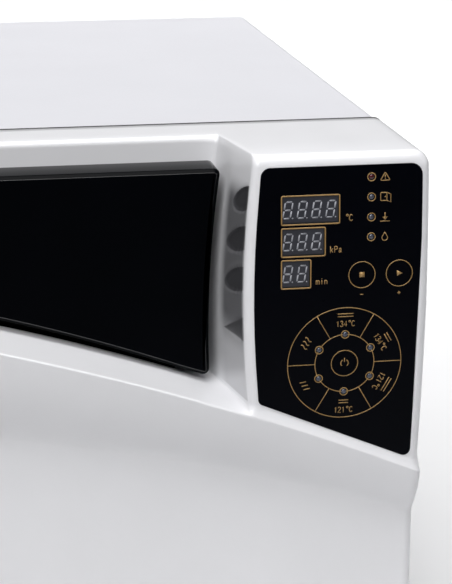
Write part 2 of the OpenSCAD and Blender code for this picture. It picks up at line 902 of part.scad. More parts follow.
module display_modules() {
    color("dimgray")
    for (k = [0 : 2])
        block(
            [display_x + 0.7, front_y + 1 + [0.9, 0.4, 0.1][k], display_z - k * display_step - display_h + 0.7],
            [display_x + digits[k] * digit_pitch, board_y, display_z - k * display_step - 0.7]
        );
}

// Lamps follow the bow, so each one's face is level with the overlay.
function bow_at(z) = bow_y - sqrt(bow_r * bow_r - (z - bow_z) * (z - bow_z));

module lamp(x, z) {
    bar_y(x, z, lamp_d / 2 - 0.05, bow_at(z) + 0.3, board_y);
}

module lamps() {
    color("lightgray")
    for (k = [0 : 3])
        lamp(lamp_x, lamp_z - k * lamp_pitch);
    color("lightgray")
    for (k = [0 : 5])
        lamp(program_x + program_r * sin(60 * k), program_z + program_r * cos(60 * k));
}

module control_board() {
    color("darkgreen")
    union() {
        block([108, board_y, 194], [186, board_y + 1.6, 320]);
        for (p = [[stop_x, keys_z], [start_x, keys_z], [program_x, program_z]])
            block([p.x - 3, board_y - 3.5, p.y - 3], [p.x + 3, board_y, p.y + 3]);
        block([114, board_y + 1.6, 228], [128, board_y + 9, 256]);
        block([140, board_y + 1.6, 290], [176, board_y + 8, 312]);
    }
}

module key(x, z) {
    y = bow_at(z);
    color("black")
    union() {
        bar_y(x, z, key_d / 2, y, y + 5);
        bar_y(x, z, key_d / 2 + 1.6, y + 3.9, y + 5);
        bar_y(x, z, 2.5, y + 4, board_y - 3.5 - key_travel - 0.2);
    }
}

module stop_key() {
    key(stop_x, keys_z);
}

module start_key() {
    key(start_x, keys_z);
}

module program_key() {
    key(program_x, program_z);
}

module side_strip() {
    color("dimgray")
    difference() {
        on_side_wall()
            block([0.3, strip_y[0] + 0.1, strip_z[0] + 0.1], [1.6, strip_y[1] - 0.1, strip_z[1] - 0.1]);
        // long dimples that run out at the strip's front edge
        for (z = dimple_zs)
            on_side_wall() along_x(-1, 1)
                polygon([
                    for (a = [0 : 15 : 345]) [strip_y[0] + dimple_y * cos(a), z + dimple_z * sin(a)]
                ]);
        on_side_wall() along_x(-1, 1)
            polygon([[strip_y[0] - 1, 228], [strip_y[0] - 1, 242], [strip_y[1] + 2, 237.5]]);
    }
}

module door_liner() {
    color("white")
    difference() {
        along_y(rim_y - 3, rim_y - 1)
            round_rect(left_x + 3.2, door_z + 3.2, right_x - 3.2, case_h - 3.2, 6);
        bar_y(chamber_x, chamber_z, flange_r + 3, rim_y - 4, rim_y);
        for (z = lock_zs)
            block([lock_x, rim_y - 4, z - 9], [lock_x + 6, rim_y, z + 9]);
        hinge_clearance(rim_y - 6.5, rim_y + 1);
    }
}

module door_beam() {
    color("gray")
    difference() {
        union() {
            block([chamber_x - 120, rim_y - 29, chamber_z - 30], [chamber_x + 120, rim_y - 23, chamber_z + 30]);
            for (x = [chamber_x - 120, chamber_x + 114])
                block([x, rim_y - 29, chamber_z - 30], [x + 6, rim_y - 3, chamber_z + 30]);
        }
        bar_y(chamber_x, chamber_z, 8, rim_y - 30, rim_y - 22);
    }
}

module pressure_plate() {
    color("gainsboro")
    translate([chamber_x, rim_y - 1.2, chamber_z])
        rotate([90, 0, 0])
            rotate_extrude($fn = 96)
                polygon([
                    [0, 2], [88, 2], [90, 0], [flange_r, 0], [flange_r, 6], [flange_r - 6, 10], [20, 14],
                    [20, 21.8], [8, 21.8], [8, 31], [0, 31]
                ]);
}

module door_gasket() {
    color("lightsalmon")
    translate([chamber_x, rim_y - 1.2, chamber_z])
        rotate([-90, 0, 0])
            rotate_extrude($fn = 96)
                translate([bore_d / 2 + 8, 0]) square([8, 1.8]);
}

module door_keepers() {
    color("silver")
    for (z = lock_zs)
        difference() {
            union() {
                block([lock_x, rim_y - 3, z - 9], [lock_x + 6, lock_y + 7, z + 9]);
                block([lock_x - 16, rim_y - 5, z - 9], [lock_x + 6, rim_y - 3, z + 9]);
            }
            bar_x(lock_y, z, 4.3, lock_x - 1, lock_x + 7);
        }
}

// ---- handle ----

module handle_outline() {
    intersection() {
        difference() {
            translate([handle_left, 200]) square([handle_right + 8 - handle_left, handle_top - 200]);
            translate([sill_x, sill_z]) circle(sill_r + handle_gap, $fn = 720);
            translate([handle_right + crease_r, crease_z]) circle(crease_r, $fn = 720);
        }
        polygon(rounded([
            [handle_left, 265, 10], [62, 206, 0], [handle_right + 0.6, 211, 6],
            [handle_right + 7.5, handle_top + 0.5, 6], [handle_left, handle_top, 14]
        ]));
    }
}

module handle() {
    color("black")
    difference() {
        along_y(handle_y0, handle_y0 + handle_t) handle_outline();
        bar_z(pin_x, pin_y, handle_pin_d / 2 + fit, 250, case_h);
        // hollow back
        along_y(handle_y0 + 4, handle_y0 + handle_t + 1)
            intersection() {
                difference() {
                    translate([-140, 215]) square([217, handle_top - 219]);
                    translate([sill_x, sill_z]) circle(sill_r + handle_gap + 4, $fn = 720);
                }
                translate([-140, 200]) square([215, 120]);
            }
    }
}

module handle_pivot() {
    color("silver")
    union() {
        bar_z(pin_x, pin_y, handle_pin_d / 2, 260, handle_top + 4);
        block([pin_x - 7, pin_y - 7, handle_top + 0.6], [pin_x + 7, wall_y, handle_top + 4]);
    }
}

base_pan();
rubber_feet();
front_bulkhead();
dust_seal();
top_cover();
rear_panel();
lower_panel();
chamber_vessel();
insulation_jacket();
heater_bands();
tray_rack();
lower_tray();
upper_tray();
steam_generator();
water_tank();
filler_lid();
filler_hinge();
vacuum_pump();
water_pump();
condenser();
fan_frame();
fan_rotor();
solenoid_valves();
safety_valve();
pipes();
power_board();
mains_inlet();
fuse_holders();
switch_bezel();
power_rocker();
drain_bodies();
drain_knob_clean();
drain_knob_used();
air_filter();
door_switch();
body_hinge_leaves();
hinge_pins();
door_hinge_leaves();
lock_guides();
lock_bar();
lock_lever();
lock_motor();
cover_screws();
rear_screws();
door_front();
door_liner();
door_beam();
pressure_plate();
door_gasket();
door_keepers();
side_strip();
control_overlay();
display_modules();
lamps();
control_board();
stop_key();
start_key();
program_key();
handle();
handle_pivot();
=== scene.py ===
import json
import math

import bpy
import numpy as np
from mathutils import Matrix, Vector


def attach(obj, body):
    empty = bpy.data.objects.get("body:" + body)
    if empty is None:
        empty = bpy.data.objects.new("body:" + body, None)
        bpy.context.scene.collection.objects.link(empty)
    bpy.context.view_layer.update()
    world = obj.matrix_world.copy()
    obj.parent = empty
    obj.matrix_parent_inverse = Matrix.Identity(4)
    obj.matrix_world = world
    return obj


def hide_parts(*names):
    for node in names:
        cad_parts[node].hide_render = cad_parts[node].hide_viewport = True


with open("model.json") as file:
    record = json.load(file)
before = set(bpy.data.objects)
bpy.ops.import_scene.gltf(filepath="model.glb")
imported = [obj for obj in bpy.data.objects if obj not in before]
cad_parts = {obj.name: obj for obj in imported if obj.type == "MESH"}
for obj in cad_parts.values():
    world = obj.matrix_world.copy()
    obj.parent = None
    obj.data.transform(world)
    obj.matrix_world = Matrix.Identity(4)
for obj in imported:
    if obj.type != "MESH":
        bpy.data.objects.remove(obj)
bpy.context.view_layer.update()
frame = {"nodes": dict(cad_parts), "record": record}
nodes = frame["nodes"]
scene = bpy.context.scene

MM = 0.001

# ---- camera ----

camera_data = bpy.data.cameras.new("camera")
camera_data.sensor_width = 36
camera_data.lens = 126.8
camera = bpy.data.objects.new("camera", camera_data)
scene.collection.objects.link(camera)
camera.location = (-0.0887, -1.2546, 0.5438)
camera.rotation_euler = (math.radians(90 - 15.569), 0, math.radians(-9.899))
scene.camera = camera
scene.view_settings.view_transform = "Standard"

# ---- the door's measures, in millimetres ----

LEFT = -187.5
RIGHT = 192.5
BOTTOM = 60.0
TOP = 330.0
RIM = -156.5                    # rear rim of the door
WALL = -192.0                   # back of the open recess
BOW = (672.0, 257.7, 924.0)     # centre Y, centre Z and radius of the bowed front
SILL = (-412.8, -1177.6, 1462.5)       # centre X, centre Z and radius of the ridge in front of the sill
STEP = (-168.4, -834.0, 1024.3)        # the same of the foot of the step below it
PANEL_FOOT = (-331.0, -834.7, 1127.5)  # the same of the lower edge of the aperture under the overlay
HANDLE_FOOT = (-331.0, -834.7, 1118.0) # the same of the handle's lower edge
LOWER = -237.0                  # flat lower face
GRIP_X = (-60.0, 68.0)          # finger pocket
GRIP_Y = -211.0
GRIP_DEPTH = 16.0
WALL_RUN = 12.2                 # the block's side wall leans by this much over its depth
WALL_DEPTH = 59.0               # from the recess to the front of the block


def bow(z):
    """Y of the bowed front: a circle about an X axis."""
    return BOW[0] - np.sqrt(BOW[2] ** 2 - (np.asarray(z, float) - BOW[1]) ** 2)


def arc_top(circle, x):
    """Z of the upper half of a circle at x."""
    return circle[1] + np.sqrt(circle[2] ** 2 - (np.asarray(x, float) - circle[0]) ** 2)


def crease(z):
    """X of the foot of the control block's side wall: a shallow parabola."""
    return 84.3 + (np.clip(z, 185, 330) - 228) ** 2 / 1232


def brow(z):
    """X of the front edge of that wall."""
    return 96.5 + (np.clip(z, 185, 330) - 256) ** 2 / 1080


def smooth(a, b, x):
    """0 below a, 1 above b, with a cubic between."""
    t = np.clip((np.asarray(x, float) - a) / (b - a), 0, 1)
    return t * t * (3 - 2 * t)


# ---- mesh helpers ----

def piece(name, verts, faces, body, material, smooth_angle=35):
    """A mesh object from arrays in millimetres, riding on a body."""
    mesh = bpy.data.meshes.new(name)
    mesh.from_pydata((np.asarray(verts, float).reshape(-1, 3) * MM).tolist(), [], faces)
    mesh.validate()
    mesh.shade_smooth()
    if smooth_angle < 180:
        mesh.set_sharp_from_angle(angle=math.radians(smooth_angle))
    obj = bpy.data.objects.new(name, mesh)
    scene.collection.objects.link(obj)
    mesh.materials.append(material)
    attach(obj, body)
    return obj


def grid_faces(rows, cols, close_rows=False, close_cols=False, start=0):
    """Quads of a grid of points stored row by row."""
    r = np.arange(rows if close_rows else rows - 1)
    c = np.arange(cols if close_cols else cols - 1)
    R, C = np.meshgrid(r, c, indexing="ij")
    R2, C2 = (R + 1) % rows, (C + 1) % cols
    quads = np.stack([R * cols + C, R * cols + C2, R2 * cols + C2, R2 * cols + C], -1)
    return (quads.reshape(-1, 4) + start).tolist()


def solidify(obj, thickness, offset=-1):
    mod = obj.modifiers.new("thickness", "SOLIDIFY")
    mod.thickness = thickness * MM
    mod.offset = offset
    return mod


def rounded_path(points, radii, n=8):
    """A polyline with an arc of the given radius at each inner corner."""
    p = np.asarray(points, float)
    out = [p[:1]]
    for i in range(1, len(p) - 1):
        a, b, c = p[i - 1], p[i], p[i + 1]
        u = (a - b) / np.linalg.norm(a - b)
        v = (c - b) / np.linalg.norm(c - b)
        if radii[i] <= 0:
            out.append(b[None])
            continue
        half = math.acos(np.clip(u @ v, -1, 1)) / 2
        cut = radii[i] / math.tan(half)
        mid = (u + v) / np.linalg.norm(u + v)
        centre = b + mid * radii[i] / math.sin(half)
        s, e = b + u * cut - centre, b + v * cut - centre
        turn = math.pi - 2 * half
        k = np.linspace(0, 1, n + 1)[:, None]
        out.append(centre + (np.sin((1 - k) * turn) * s + np.sin(k * turn) * e) / math.sin(turn))
    out.append(p[-1:])
    return np.vstack(out)


# ---- materials ----

def hexa(code):
    """sRGB hex to linear RGBA."""
    v = np.array([int(code[i:i + 2], 16) for i in (1, 3, 5)]) / 255
    lin = np.where(v <= 0.04045, v / 12.92, ((v + 0.055) / 1.055) ** 2.4)
    return (*lin.tolist(), 1.0)


def add(tree, kind, inputs=None, **settings):
    """One node with its settings, and links or values for its inputs."""
    node = tree.nodes.new(kind)
    for key, value in settings.items():
        setattr(node, key, value)
    for key, value in (inputs or {}).items():
        if isinstance(value, bpy.types.NodeSocket):
            tree.links.new(value, node.inputs[key])
        else:
            node.inputs[key].default_value = value
    return node


def finish(name, light, dark, roughness, grain, bump, spread=0.08, stretch=(1, 1, 1), patch=30,
           metallic=0.0, coat=0.0, coat_rough=0.1, ior=1.5, sheen=0.0, detail=3.0):
    """A procedural finish: two close colours in soft patches, a fine grain of that size in millimetres
    as bump and as a change in roughness. stretch shortens the grain along an axis, as on brushed metal."""
    mat = bpy.data.materials.new(name)
    mat.use_nodes = True
    tree = mat.node_tree
    tree.nodes.clear()
    out = add(tree, "ShaderNodeOutputMaterial")
    where = add(tree, "ShaderNodeTexCoord")
    place = add(tree, "ShaderNodeMapping", {"Vector": where.outputs["Object"], "Scale": stretch})
    patches = add(tree, "ShaderNodeTexNoise", {"Vector": where.outputs["Object"], "Scale": 1000 / patch,
                                               "Detail": 2.0})
    fine = add(tree, "ShaderNodeTexNoise", {"Vector": place.outputs["Vector"], "Scale": 1000 / grain,
                                            "Detail": detail})
    tint = add(tree, "ShaderNodeValToRGB", {"Fac": patches.outputs["Fac"]})
    tint.color_ramp.interpolation = "EASE"
    tint.color_ramp.elements[0].position = 0.15
    tint.color_ramp.elements[0].color = hexa(dark)
    tint.color_ramp.elements[1].position = 0.85
    tint.color_ramp.elements[1].color = hexa(light)
    gloss = add(tree, "ShaderNodeMapRange", {"Value": fine.outputs["Fac"], "From Min": 0.15,
                                             "From Max": 0.85, "To Min": roughness * (1 - spread),
                                             "To Max": roughness * (1 + spread)},
                                             interpolation_type="SMOOTHSTEP")
    relief = add(tree, "ShaderNodeBump", {"Height": fine.outputs["Fac"], "Strength": 1.0,
                                          "Distance": bump * MM})
    shader = add(tree, "ShaderNodeBsdfPrincipled", {
        "Base Color": tint.outputs["Color"], "Roughness": gloss.outputs["Result"],
        "Normal": relief.outputs["Normal"], "Metallic": metallic, "Coat Weight": coat,
        "Coat Roughness": coat_rough, "IOR": ior, "Sheen Weight": sheen})
    tree.links.new(shader.outputs["BSDF"], out.inputs["Surface"])
    return mat


# Injection-moulded ABS from a polished tool: clean white, satin gloss, the faint waviness of moulding.
white_abs = finish("moulded_white_abs", "#ededf0", "#eaeaed", 0.31, 14.0, 0.006, spread=0.05, coat=0.25,
                   coat_rough=0.12, patch=60, detail=0.0)
# Powder-coated steel: cool pale grey with a fine orange peel.
cover_paint = finish("powder_coated_steel", "#d9d9de", "#d6d6db", 0.42, 1.6, 0.03, patch=80, spread=0.12)
# Black gloss ABS: deep black, mirror-like with a slightly uneven sheen.
black_gloss = finish("black_gloss_abs", "#050609", "#040507", 0.1, 14.0, 0.01, spread=0.3, ior=1.08,
                     detail=0.0)
# Printed polycarbonate film: blue-black under a smooth hard coat.
film = finish("printed_polycarbonate_film", "#04050a", "#030408", 0.3, 5.0, 0.004, spread=0.1, ior=1.13)
# Metallic ink, screen printed: dull gold.
gold_ink = finish("gold_screen_ink", "#ab8a58", "#9c7b49", 0.45, 0.5, 0.004, metallic=0.25, patch=6)
# Smoked filter over the display: dark grey, smooth.
display_grey = finish("smoked_display_face", "#34353d", "#2b2c33", 0.35, 2.0, 0.005, coat=0.5,
                      coat_rough=0.1)
# Unlit diffusing epoxy of the display segments: milky grey.
segment_grey = finish("unlit_segment_epoxy", "#a6a8af", "#92949c", 0.5, 0.6, 0.003, patch=4)
# Clear epoxy lamp, unlit: smoky grey with a bright top.
lamp_clear = finish("clear_lamp_epoxy", "#4a4f5e", "#353a48", 0.15, 1.0, 0.004, coat=0.8, coat_rough=0.05,
                    patch=2)
# Red epoxy lamp, unlit.
lamp_red = finish("red_lamp_epoxy", "#4c141c", "#380c13", 0.15, 1.0, 0.004, coat=0.8, coat_rough=0.05,
                  patch=2)
# Matt black PA6, moulded on an eroded tool.
black_plastic = finish("black_textured_nylon", "#17181a", "#121315", 0.55, 0.5, 0.03, patch=20)
grey_plastic = finish("grey_textured_nylon", "#6b6c6f", "#626366", 0.5, 0.6, 0.02, patch=20)
light_plastic = finish("translucent_polypropylene", "#d9dbd9", "#cfd2d0", 0.4, 3.0, 0.02, patch=25)
blue_plastic = finish("blue_moulded_nylon", "#2f66a8", "#2a5b97", 0.42, 0.7, 0.02, patch=12)
# Galvanised sheet: cool grey with pale crystal patches.
bare_steel = finish("galvanised_steel", "#b4b7ba", "#9da1a5", 0.38, 0.8, 0.01, metallic=1.0, patch=7,
                    spread=0.2)
# Stainless steel, brushed around and polished.
stainless = finish("brushed_stainless_steel", "#c9c8c5", "#b9b8b5", 0.22, 2.5, 0.01, metallic=1.0,
                   stretch=(12, 1, 12),
                   spread=0.35, patch=25)
brass = finish("machined_brass", "#c9a55c", "#b89148", 0.3, 1.2, 0.01, metallic=1.0, stretch=(1, 8, 1),
               patch=10)
copper = finish("drawn_copper", "#c47f5a", "#a9664a", 0.32, 1.5, 0.01, metallic=1.0, patch=12, spread=0.25)
heater_foil = finish("mica_heater_band", "#a98f5f", "#927a4d", 0.5, 1.2, 0.02, metallic=0.6, patch=14)
rubber = finish("black_nitrile_rubber", "#1a1a1b", "#141415", 0.75, 0.7, 0.04, patch=12)
silicone = finish("red_brown_silicone", "#b5634a", "#a5563f", 0.45, 1.0, 0.02, patch=15, coat=0.1)
glass_cloth = finish("woven_glass_cloth", "#d6c8a4", "#c4b48c", 0.85, 2.2, 0.5, patch=25, sheen=0.3,
                     stretch=(1, 3, 1))
board_green = finish("solder_resist_board", "#1c6b3c", "#155730", 0.35, 3.0, 0.03, patch=5, coat=0.3)

SLOT_MATERIALS = {
    "white_abs": white_abs, "painted_steel": cover_paint, "bare_steel": bare_steel,
    "polished_steel": stainless,
    "black_gloss": black_gloss, "black_plastic": black_plastic, "grey_plastic": grey_plastic,
    "light_plastic": light_plastic, "rubber": rubber, "silicone": silicone, "fibre": glass_cloth,
    "heater": heater_foil, "brass": brass, "copper": copper, "board": board_green, "lens": lamp_clear,
    "blue_plastic": blue_plastic,
}
NODE_MATERIALS = {"control_overlay": film, "display_modules": display_grey, "stop_key": film,
                  "start_key": film, "program_key": film}
for row in frame["record"]["subparts"]:
    obj = nodes[row["node"]]
    material = NODE_MATERIALS.get(row["node"], SLOT_MATERIALS[row["material_slot"]])
    for entry in obj.material_slots:
        entry.material = material


def door_abs():
    """The white ABS again, with light and shade painted on the block's side wall: a grey band of painted
    shade and painted reflection of the black handle, soft along its edges, and darker painted shade in the
    dimples and the wedge, worked out from the place in front of the recess and the height. The finger pocket
    gets a near black painted shade."""
    mat = white_abs.copy()
    mat.name = "white_abs_with_painted_shade"
    tree = mat.node_tree
    shader = next(n for n in tree.nodes if n.type == "BSDF_PRINCIPLED")
    base = shader.inputs["Base Color"].links[0].from_socket
    where = next(n for n in tree.nodes if n.type == "TEX_COORD")
    xyz = add(tree, "ShaderNodeSeparateXYZ", {"Vector": where.outputs["Object"]})

    wall = add(tree, "ShaderNodeAttribute", attribute_name="side_wall")
    pocket = add(tree, "ShaderNodeAttribute", attribute_name="pocket")
    made = {"y": xyz.outputs["Y"], "z": xyz.outputs["Z"], "wall": wall.outputs["Fac"],
            "sunk_and_painted_shade": pocket.outputs["Fac"], "dark": 0.0}
    # each row: the result's name, the operation, then values or earlier results by name
    # strip is the side wall's band of painted shade and painted reflection of the black handle; dark is the
    # painted shade in the dimples and the wedge
    steps = [
        ("out", "MULTIPLY_ADD", "y", -1000.0, WALL),
        ("high", "MULTIPLY", "z", 1000.0),
        ("strip", "SMOOTHSTEP", "out", 20.0, 31.0),
        ("front", "SMOOTHSTEP", "out", 53.0, 58.0, 1.0, 0.0),
        ("strip", "MULTIPLY", "strip", "front"),
        ("fade", "SMOOTHSTEP", "high", 303.0, 317.0, 1.0, 0.0),
        ("strip", "MULTIPLY", "strip", "fade"),
        ("fade", "SMOOTHSTEP", "high", 222.0, 244.0, 0.35, 1.0),
        ("strip", "MULTIPLY", "strip", "fade"),
        ("rise", "ADD", "high", SLANT * DIMPLE_OUT),
        ("level", "MULTIPLY_ADD", "out", -SLANT, "rise"),
    ]
    for zc, half in DIMPLES:
        steps += [
            ("a", "SUBTRACT", "out", DIMPLE_OUT),
            ("a", "DIVIDE", "a", half),
            ("a", "MULTIPLY", "a", "a"),
            ("b", "SUBTRACT", "level", zc),
            ("b", "DIVIDE", "b", DIMPLE_HALF),
            ("b", "MULTIPLY", "b", "b"),
            ("disc", "ADD", "a", "b"),
            ("disc", "SMOOTHSTEP", "disc", 0.92, 1.04, 1.0, 0.0),
            ("dark", "MAXIMUM", "dark", "disc"),
        ]
    steps += [
        ("share", "SUBTRACT", "out", WEDGE_OUT[0]),
        ("share", "DIVIDE", "share", WEDGE_OUT[1] - WEDGE_OUT[0]),
        ("top", "MULTIPLY_ADD", "share", WEDGE_Z[2] - WEDGE_Z[1], WEDGE_Z[1]),
        ("low", "MULTIPLY_ADD", "share", WEDGE_Z[0] - WEDGE_Z[1], WEDGE_Z[1]),
        ("top", "SUBTRACT", "top", "high"),
        ("top", "SMOOTHSTEP", "top", 0.0, 0.8),
        ("low", "SUBTRACT", "high", "low"),
        ("low", "SMOOTHSTEP", "low", 0.0, 0.8),
        ("wedge", "MULTIPLY", "top", "low"),
        ("wedge", "MULTIPLY", "wedge", 0.8),
        ("dark", "MAXIMUM", "dark", "wedge"),
        ("dark", "MULTIPLY", "dark", "front"),
        ("strip", "MULTIPLY", "strip", "wall"),
        ("dark", "MULTIPLY", "dark", "wall"),
        ("sunk_and_painted_shade", "SMOOTHSTEP", "sunk_and_painted_shade", 0.05, 0.6),
    ]
    for name, operation, *values in steps:
        inputs = {i: made[v] if isinstance(v, str) else v for i, v in enumerate(values)}
        if operation == "SMOOTHSTEP":
            node = add(tree, "ShaderNodeMapRange", inputs, interpolation_type=operation)
        else:
            node = add(tree, "ShaderNodeMath", inputs, operation=operation)
        made[name] = node.outputs[0]
    colour = base
    # painted shade mixed over the white: the side wall's grey band, the dimples and wedge, and the near
    # black finger pocket
    for share, code in (("strip", "#6f6f72"), ("dark", "#454548"), ("sunk_and_painted_shade", "#0c0c0e")):
        mix = add(tree, "ShaderNodeMix", {0: made[share], 6: colour, 7: hexa(code)}, data_type="RGBA")
        colour = mix.outputs[2]
    tree.links.new(colour, shader.inputs["Base Color"])
    return mat


# ---- door front ----

RIDGE_R = 1.3
SILL_RISE = 4.6                 # the sill climbs by this much from the ridge to the recess wall
PROUD = 2.4                     # the ridge stands this far in front of the bow
STRIP = 5.6                     # height of the sloping strip between the overlay and the ridge
SEAT = 0.3                      # the overlay stands this proud of the block
DIMPLES = ((306.6, 16.0), (285.5, 21.0), (264.0, 21.0))    # height and half length of each
DIMPLE_OUT = 50.0
DIMPLE_HALF = 6.6
SLANT = 0.29                    # the dimples run down towards the recess by this slope
WEDGE_OUT = (27.0, 54.0)
WEDGE_Z = (231.5, 232.0, 244.5)
SPREAD = 22.0                   # height taken by the sill's rows on the block
VALLEY = 0.74                   # share of the step's height where its slope is steepest
EDGE = 6                        # rows in an edge's rounding
EDGE_LEFT = 3.0                 # rounding of the outer edge on the recessed left part
EDGE_RIGHT = 5.5                # the same on the control block
RIM_BAND = 6.5                  # the skirt's last band, in front of the rim
SHELL = 2.6                     # wall of the moulding
APERTURE_EDGE = 6.2             # left standing beside the overlay's aperture
APERTURE_TOP = 321
HINGE_Z = (110, 290)
HINGE_ROOM = (8, 23)            # width and half height left free for a hinge
quarter = np.linspace(math.pi / 2, 0, EDGE + 1)


def edge_radius(x):
    """Rounding of the outer edge: tighter on the recessed left part than on the block."""
    return EDGE_LEFT + (EDGE_RIGHT - EDGE_LEFT) * smooth(80, 104, x)


def step_share(t, valley):
    """Share of the step's depth at t, from the ridge down: its slope grows with the square of t up to
    the valley, then fades out at the boundary."""
    a = 0.15 * valley + 0.85 * valley / 3
    w = np.clip((t - valley) / (1 - valley), 0, 1)
    low = 0.15 * t + 0.85 * t ** 3 / (3 * valley ** 2)
    high = a + (1 - valley) * (w - 0.9 * w ** 4 / 4)
    return np.where(t < valley, low, high) / (a + (1 - valley) * 0.775)


def front_y(x, z):
    """Y of the front below the ridge and on the block: the bow, eased down to the flat lower face."""
    ridge = arc_top(SILL, x)
    foot = arc_top(STEP, np.clip(x, -300, 400))
    t = np.clip((ridge - z) / (ridge - foot), 0, 1)
    b = bow(z)
    b = b - PROUD * (1 - np.clip((z - ridge) / STRIP, 0, 1)) ** 1.2
    return np.maximum(b, b + (LOWER - b) * step_share(t, VALLEY))


def right_edge(z):
    """X of the door's right side: it swells at the ridge and steps in below it."""
    return np.interp(z, [60, 126, 131, 142, 149, 153, 158, 163, 195, 250, 317, 330],
                     [192.6, 192.9, 193.1, 193.8, 194.2, 194.2, 193.4, 192.6, 193.3, 194.2, 194.3, 194.3])


def door_columns():
    """Columns of the grid: absolute x up to the side wall, then (offset, depth share) across that wall,
    then a share of the way to the right edge."""
    left = LEFT + EDGE_LEFT * (1 - np.sin(quarter))
    ends = [g + d for g in GRIP_X for d in np.linspace(-3, 3, 7)]
    left = np.unique(np.concatenate([left, np.linspace(-182, 66, 56), ends]).round(3))
    corners = [(-10, 0), (0, 0), (WALL_RUN, WALL_DEPTH), (WALL_RUN + 10, WALL_DEPTH)]
    wall = rounded_path(corners, [0, 2.5, 4.2, 0], 8)
    s = np.linspace(0, 1, 5)[1:-1, None]
    middle = wall[9] + (wall[10] - wall[9]) * np.linspace(0, 1, 46)[1:-1, None]
    lead = wall[0] + (wall[1] - wall[0]) * s
    wall = np.vstack([wall[:1], lead, wall[1:10], middle, wall[10:]])
    return left, wall, np.linspace(0, 1, 30)[1:]


def door_rows():
    """Rows through the ridge and along the sill, as (height over the sill line, share of the depth)."""
    corners = [(-1.6, 0.0), (0.0, 0.0), (SILL_RISE, WALL_DEPTH), (SILL_RISE + 5.0, WALL_DEPTH)]
    path = rounded_path(corners, [0, RIDGE_R, 3.0, 0], 8)
    at = np.concatenate([np.linspace(1.8, 37.5, 14), np.linspace(38, 41.5, 11), np.linspace(43, 55, 8)])
    sill = np.stack([at * SILL_RISE / WALL_DEPTH, at], 1)
    foot = path[-2] + (path[-1] - path[-2]) * np.linspace(0, 1, 5)[:-1, None]
    return np.vstack([path[:10], sill, path[10:-2], foot, path[-1:]])


def dimple_depth(out, z):
    """Depth of the long dimples and the wedge pressed into the block's side wall, out being the distance
    in front of the recess: each is flat with a short bevel."""
    depth = np.zeros_like(z)
    for zc, half in DIMPLES:
        d = np.hypot((out - DIMPLE_OUT) / half, (z - zc + SLANT * (DIMPLE_OUT - out)) / DIMPLE_HALF)
        depth = np.maximum(depth, 1.0 * (1 - smooth(0.9, 1.02, d)))
    share = np.clip((out - WEDGE_OUT[0]) / (WEDGE_OUT[1] - WEDGE_OUT[0]), 0, 1)
    top = WEDGE_Z[1] + (WEDGE_Z[2] - WEDGE_Z[1]) * share
    low = WEDGE_Z[1] + (WEDGE_Z[0] - WEDGE_Z[1]) * share
    wedge = 0.8 * smooth(0, 1.0, top - z) * smooth(0, 1.0, z - low) * smooth(0, 0.05, share)
    depth = np.maximum(depth, wedge)
    return depth * (1 - smooth(51, 54, out))


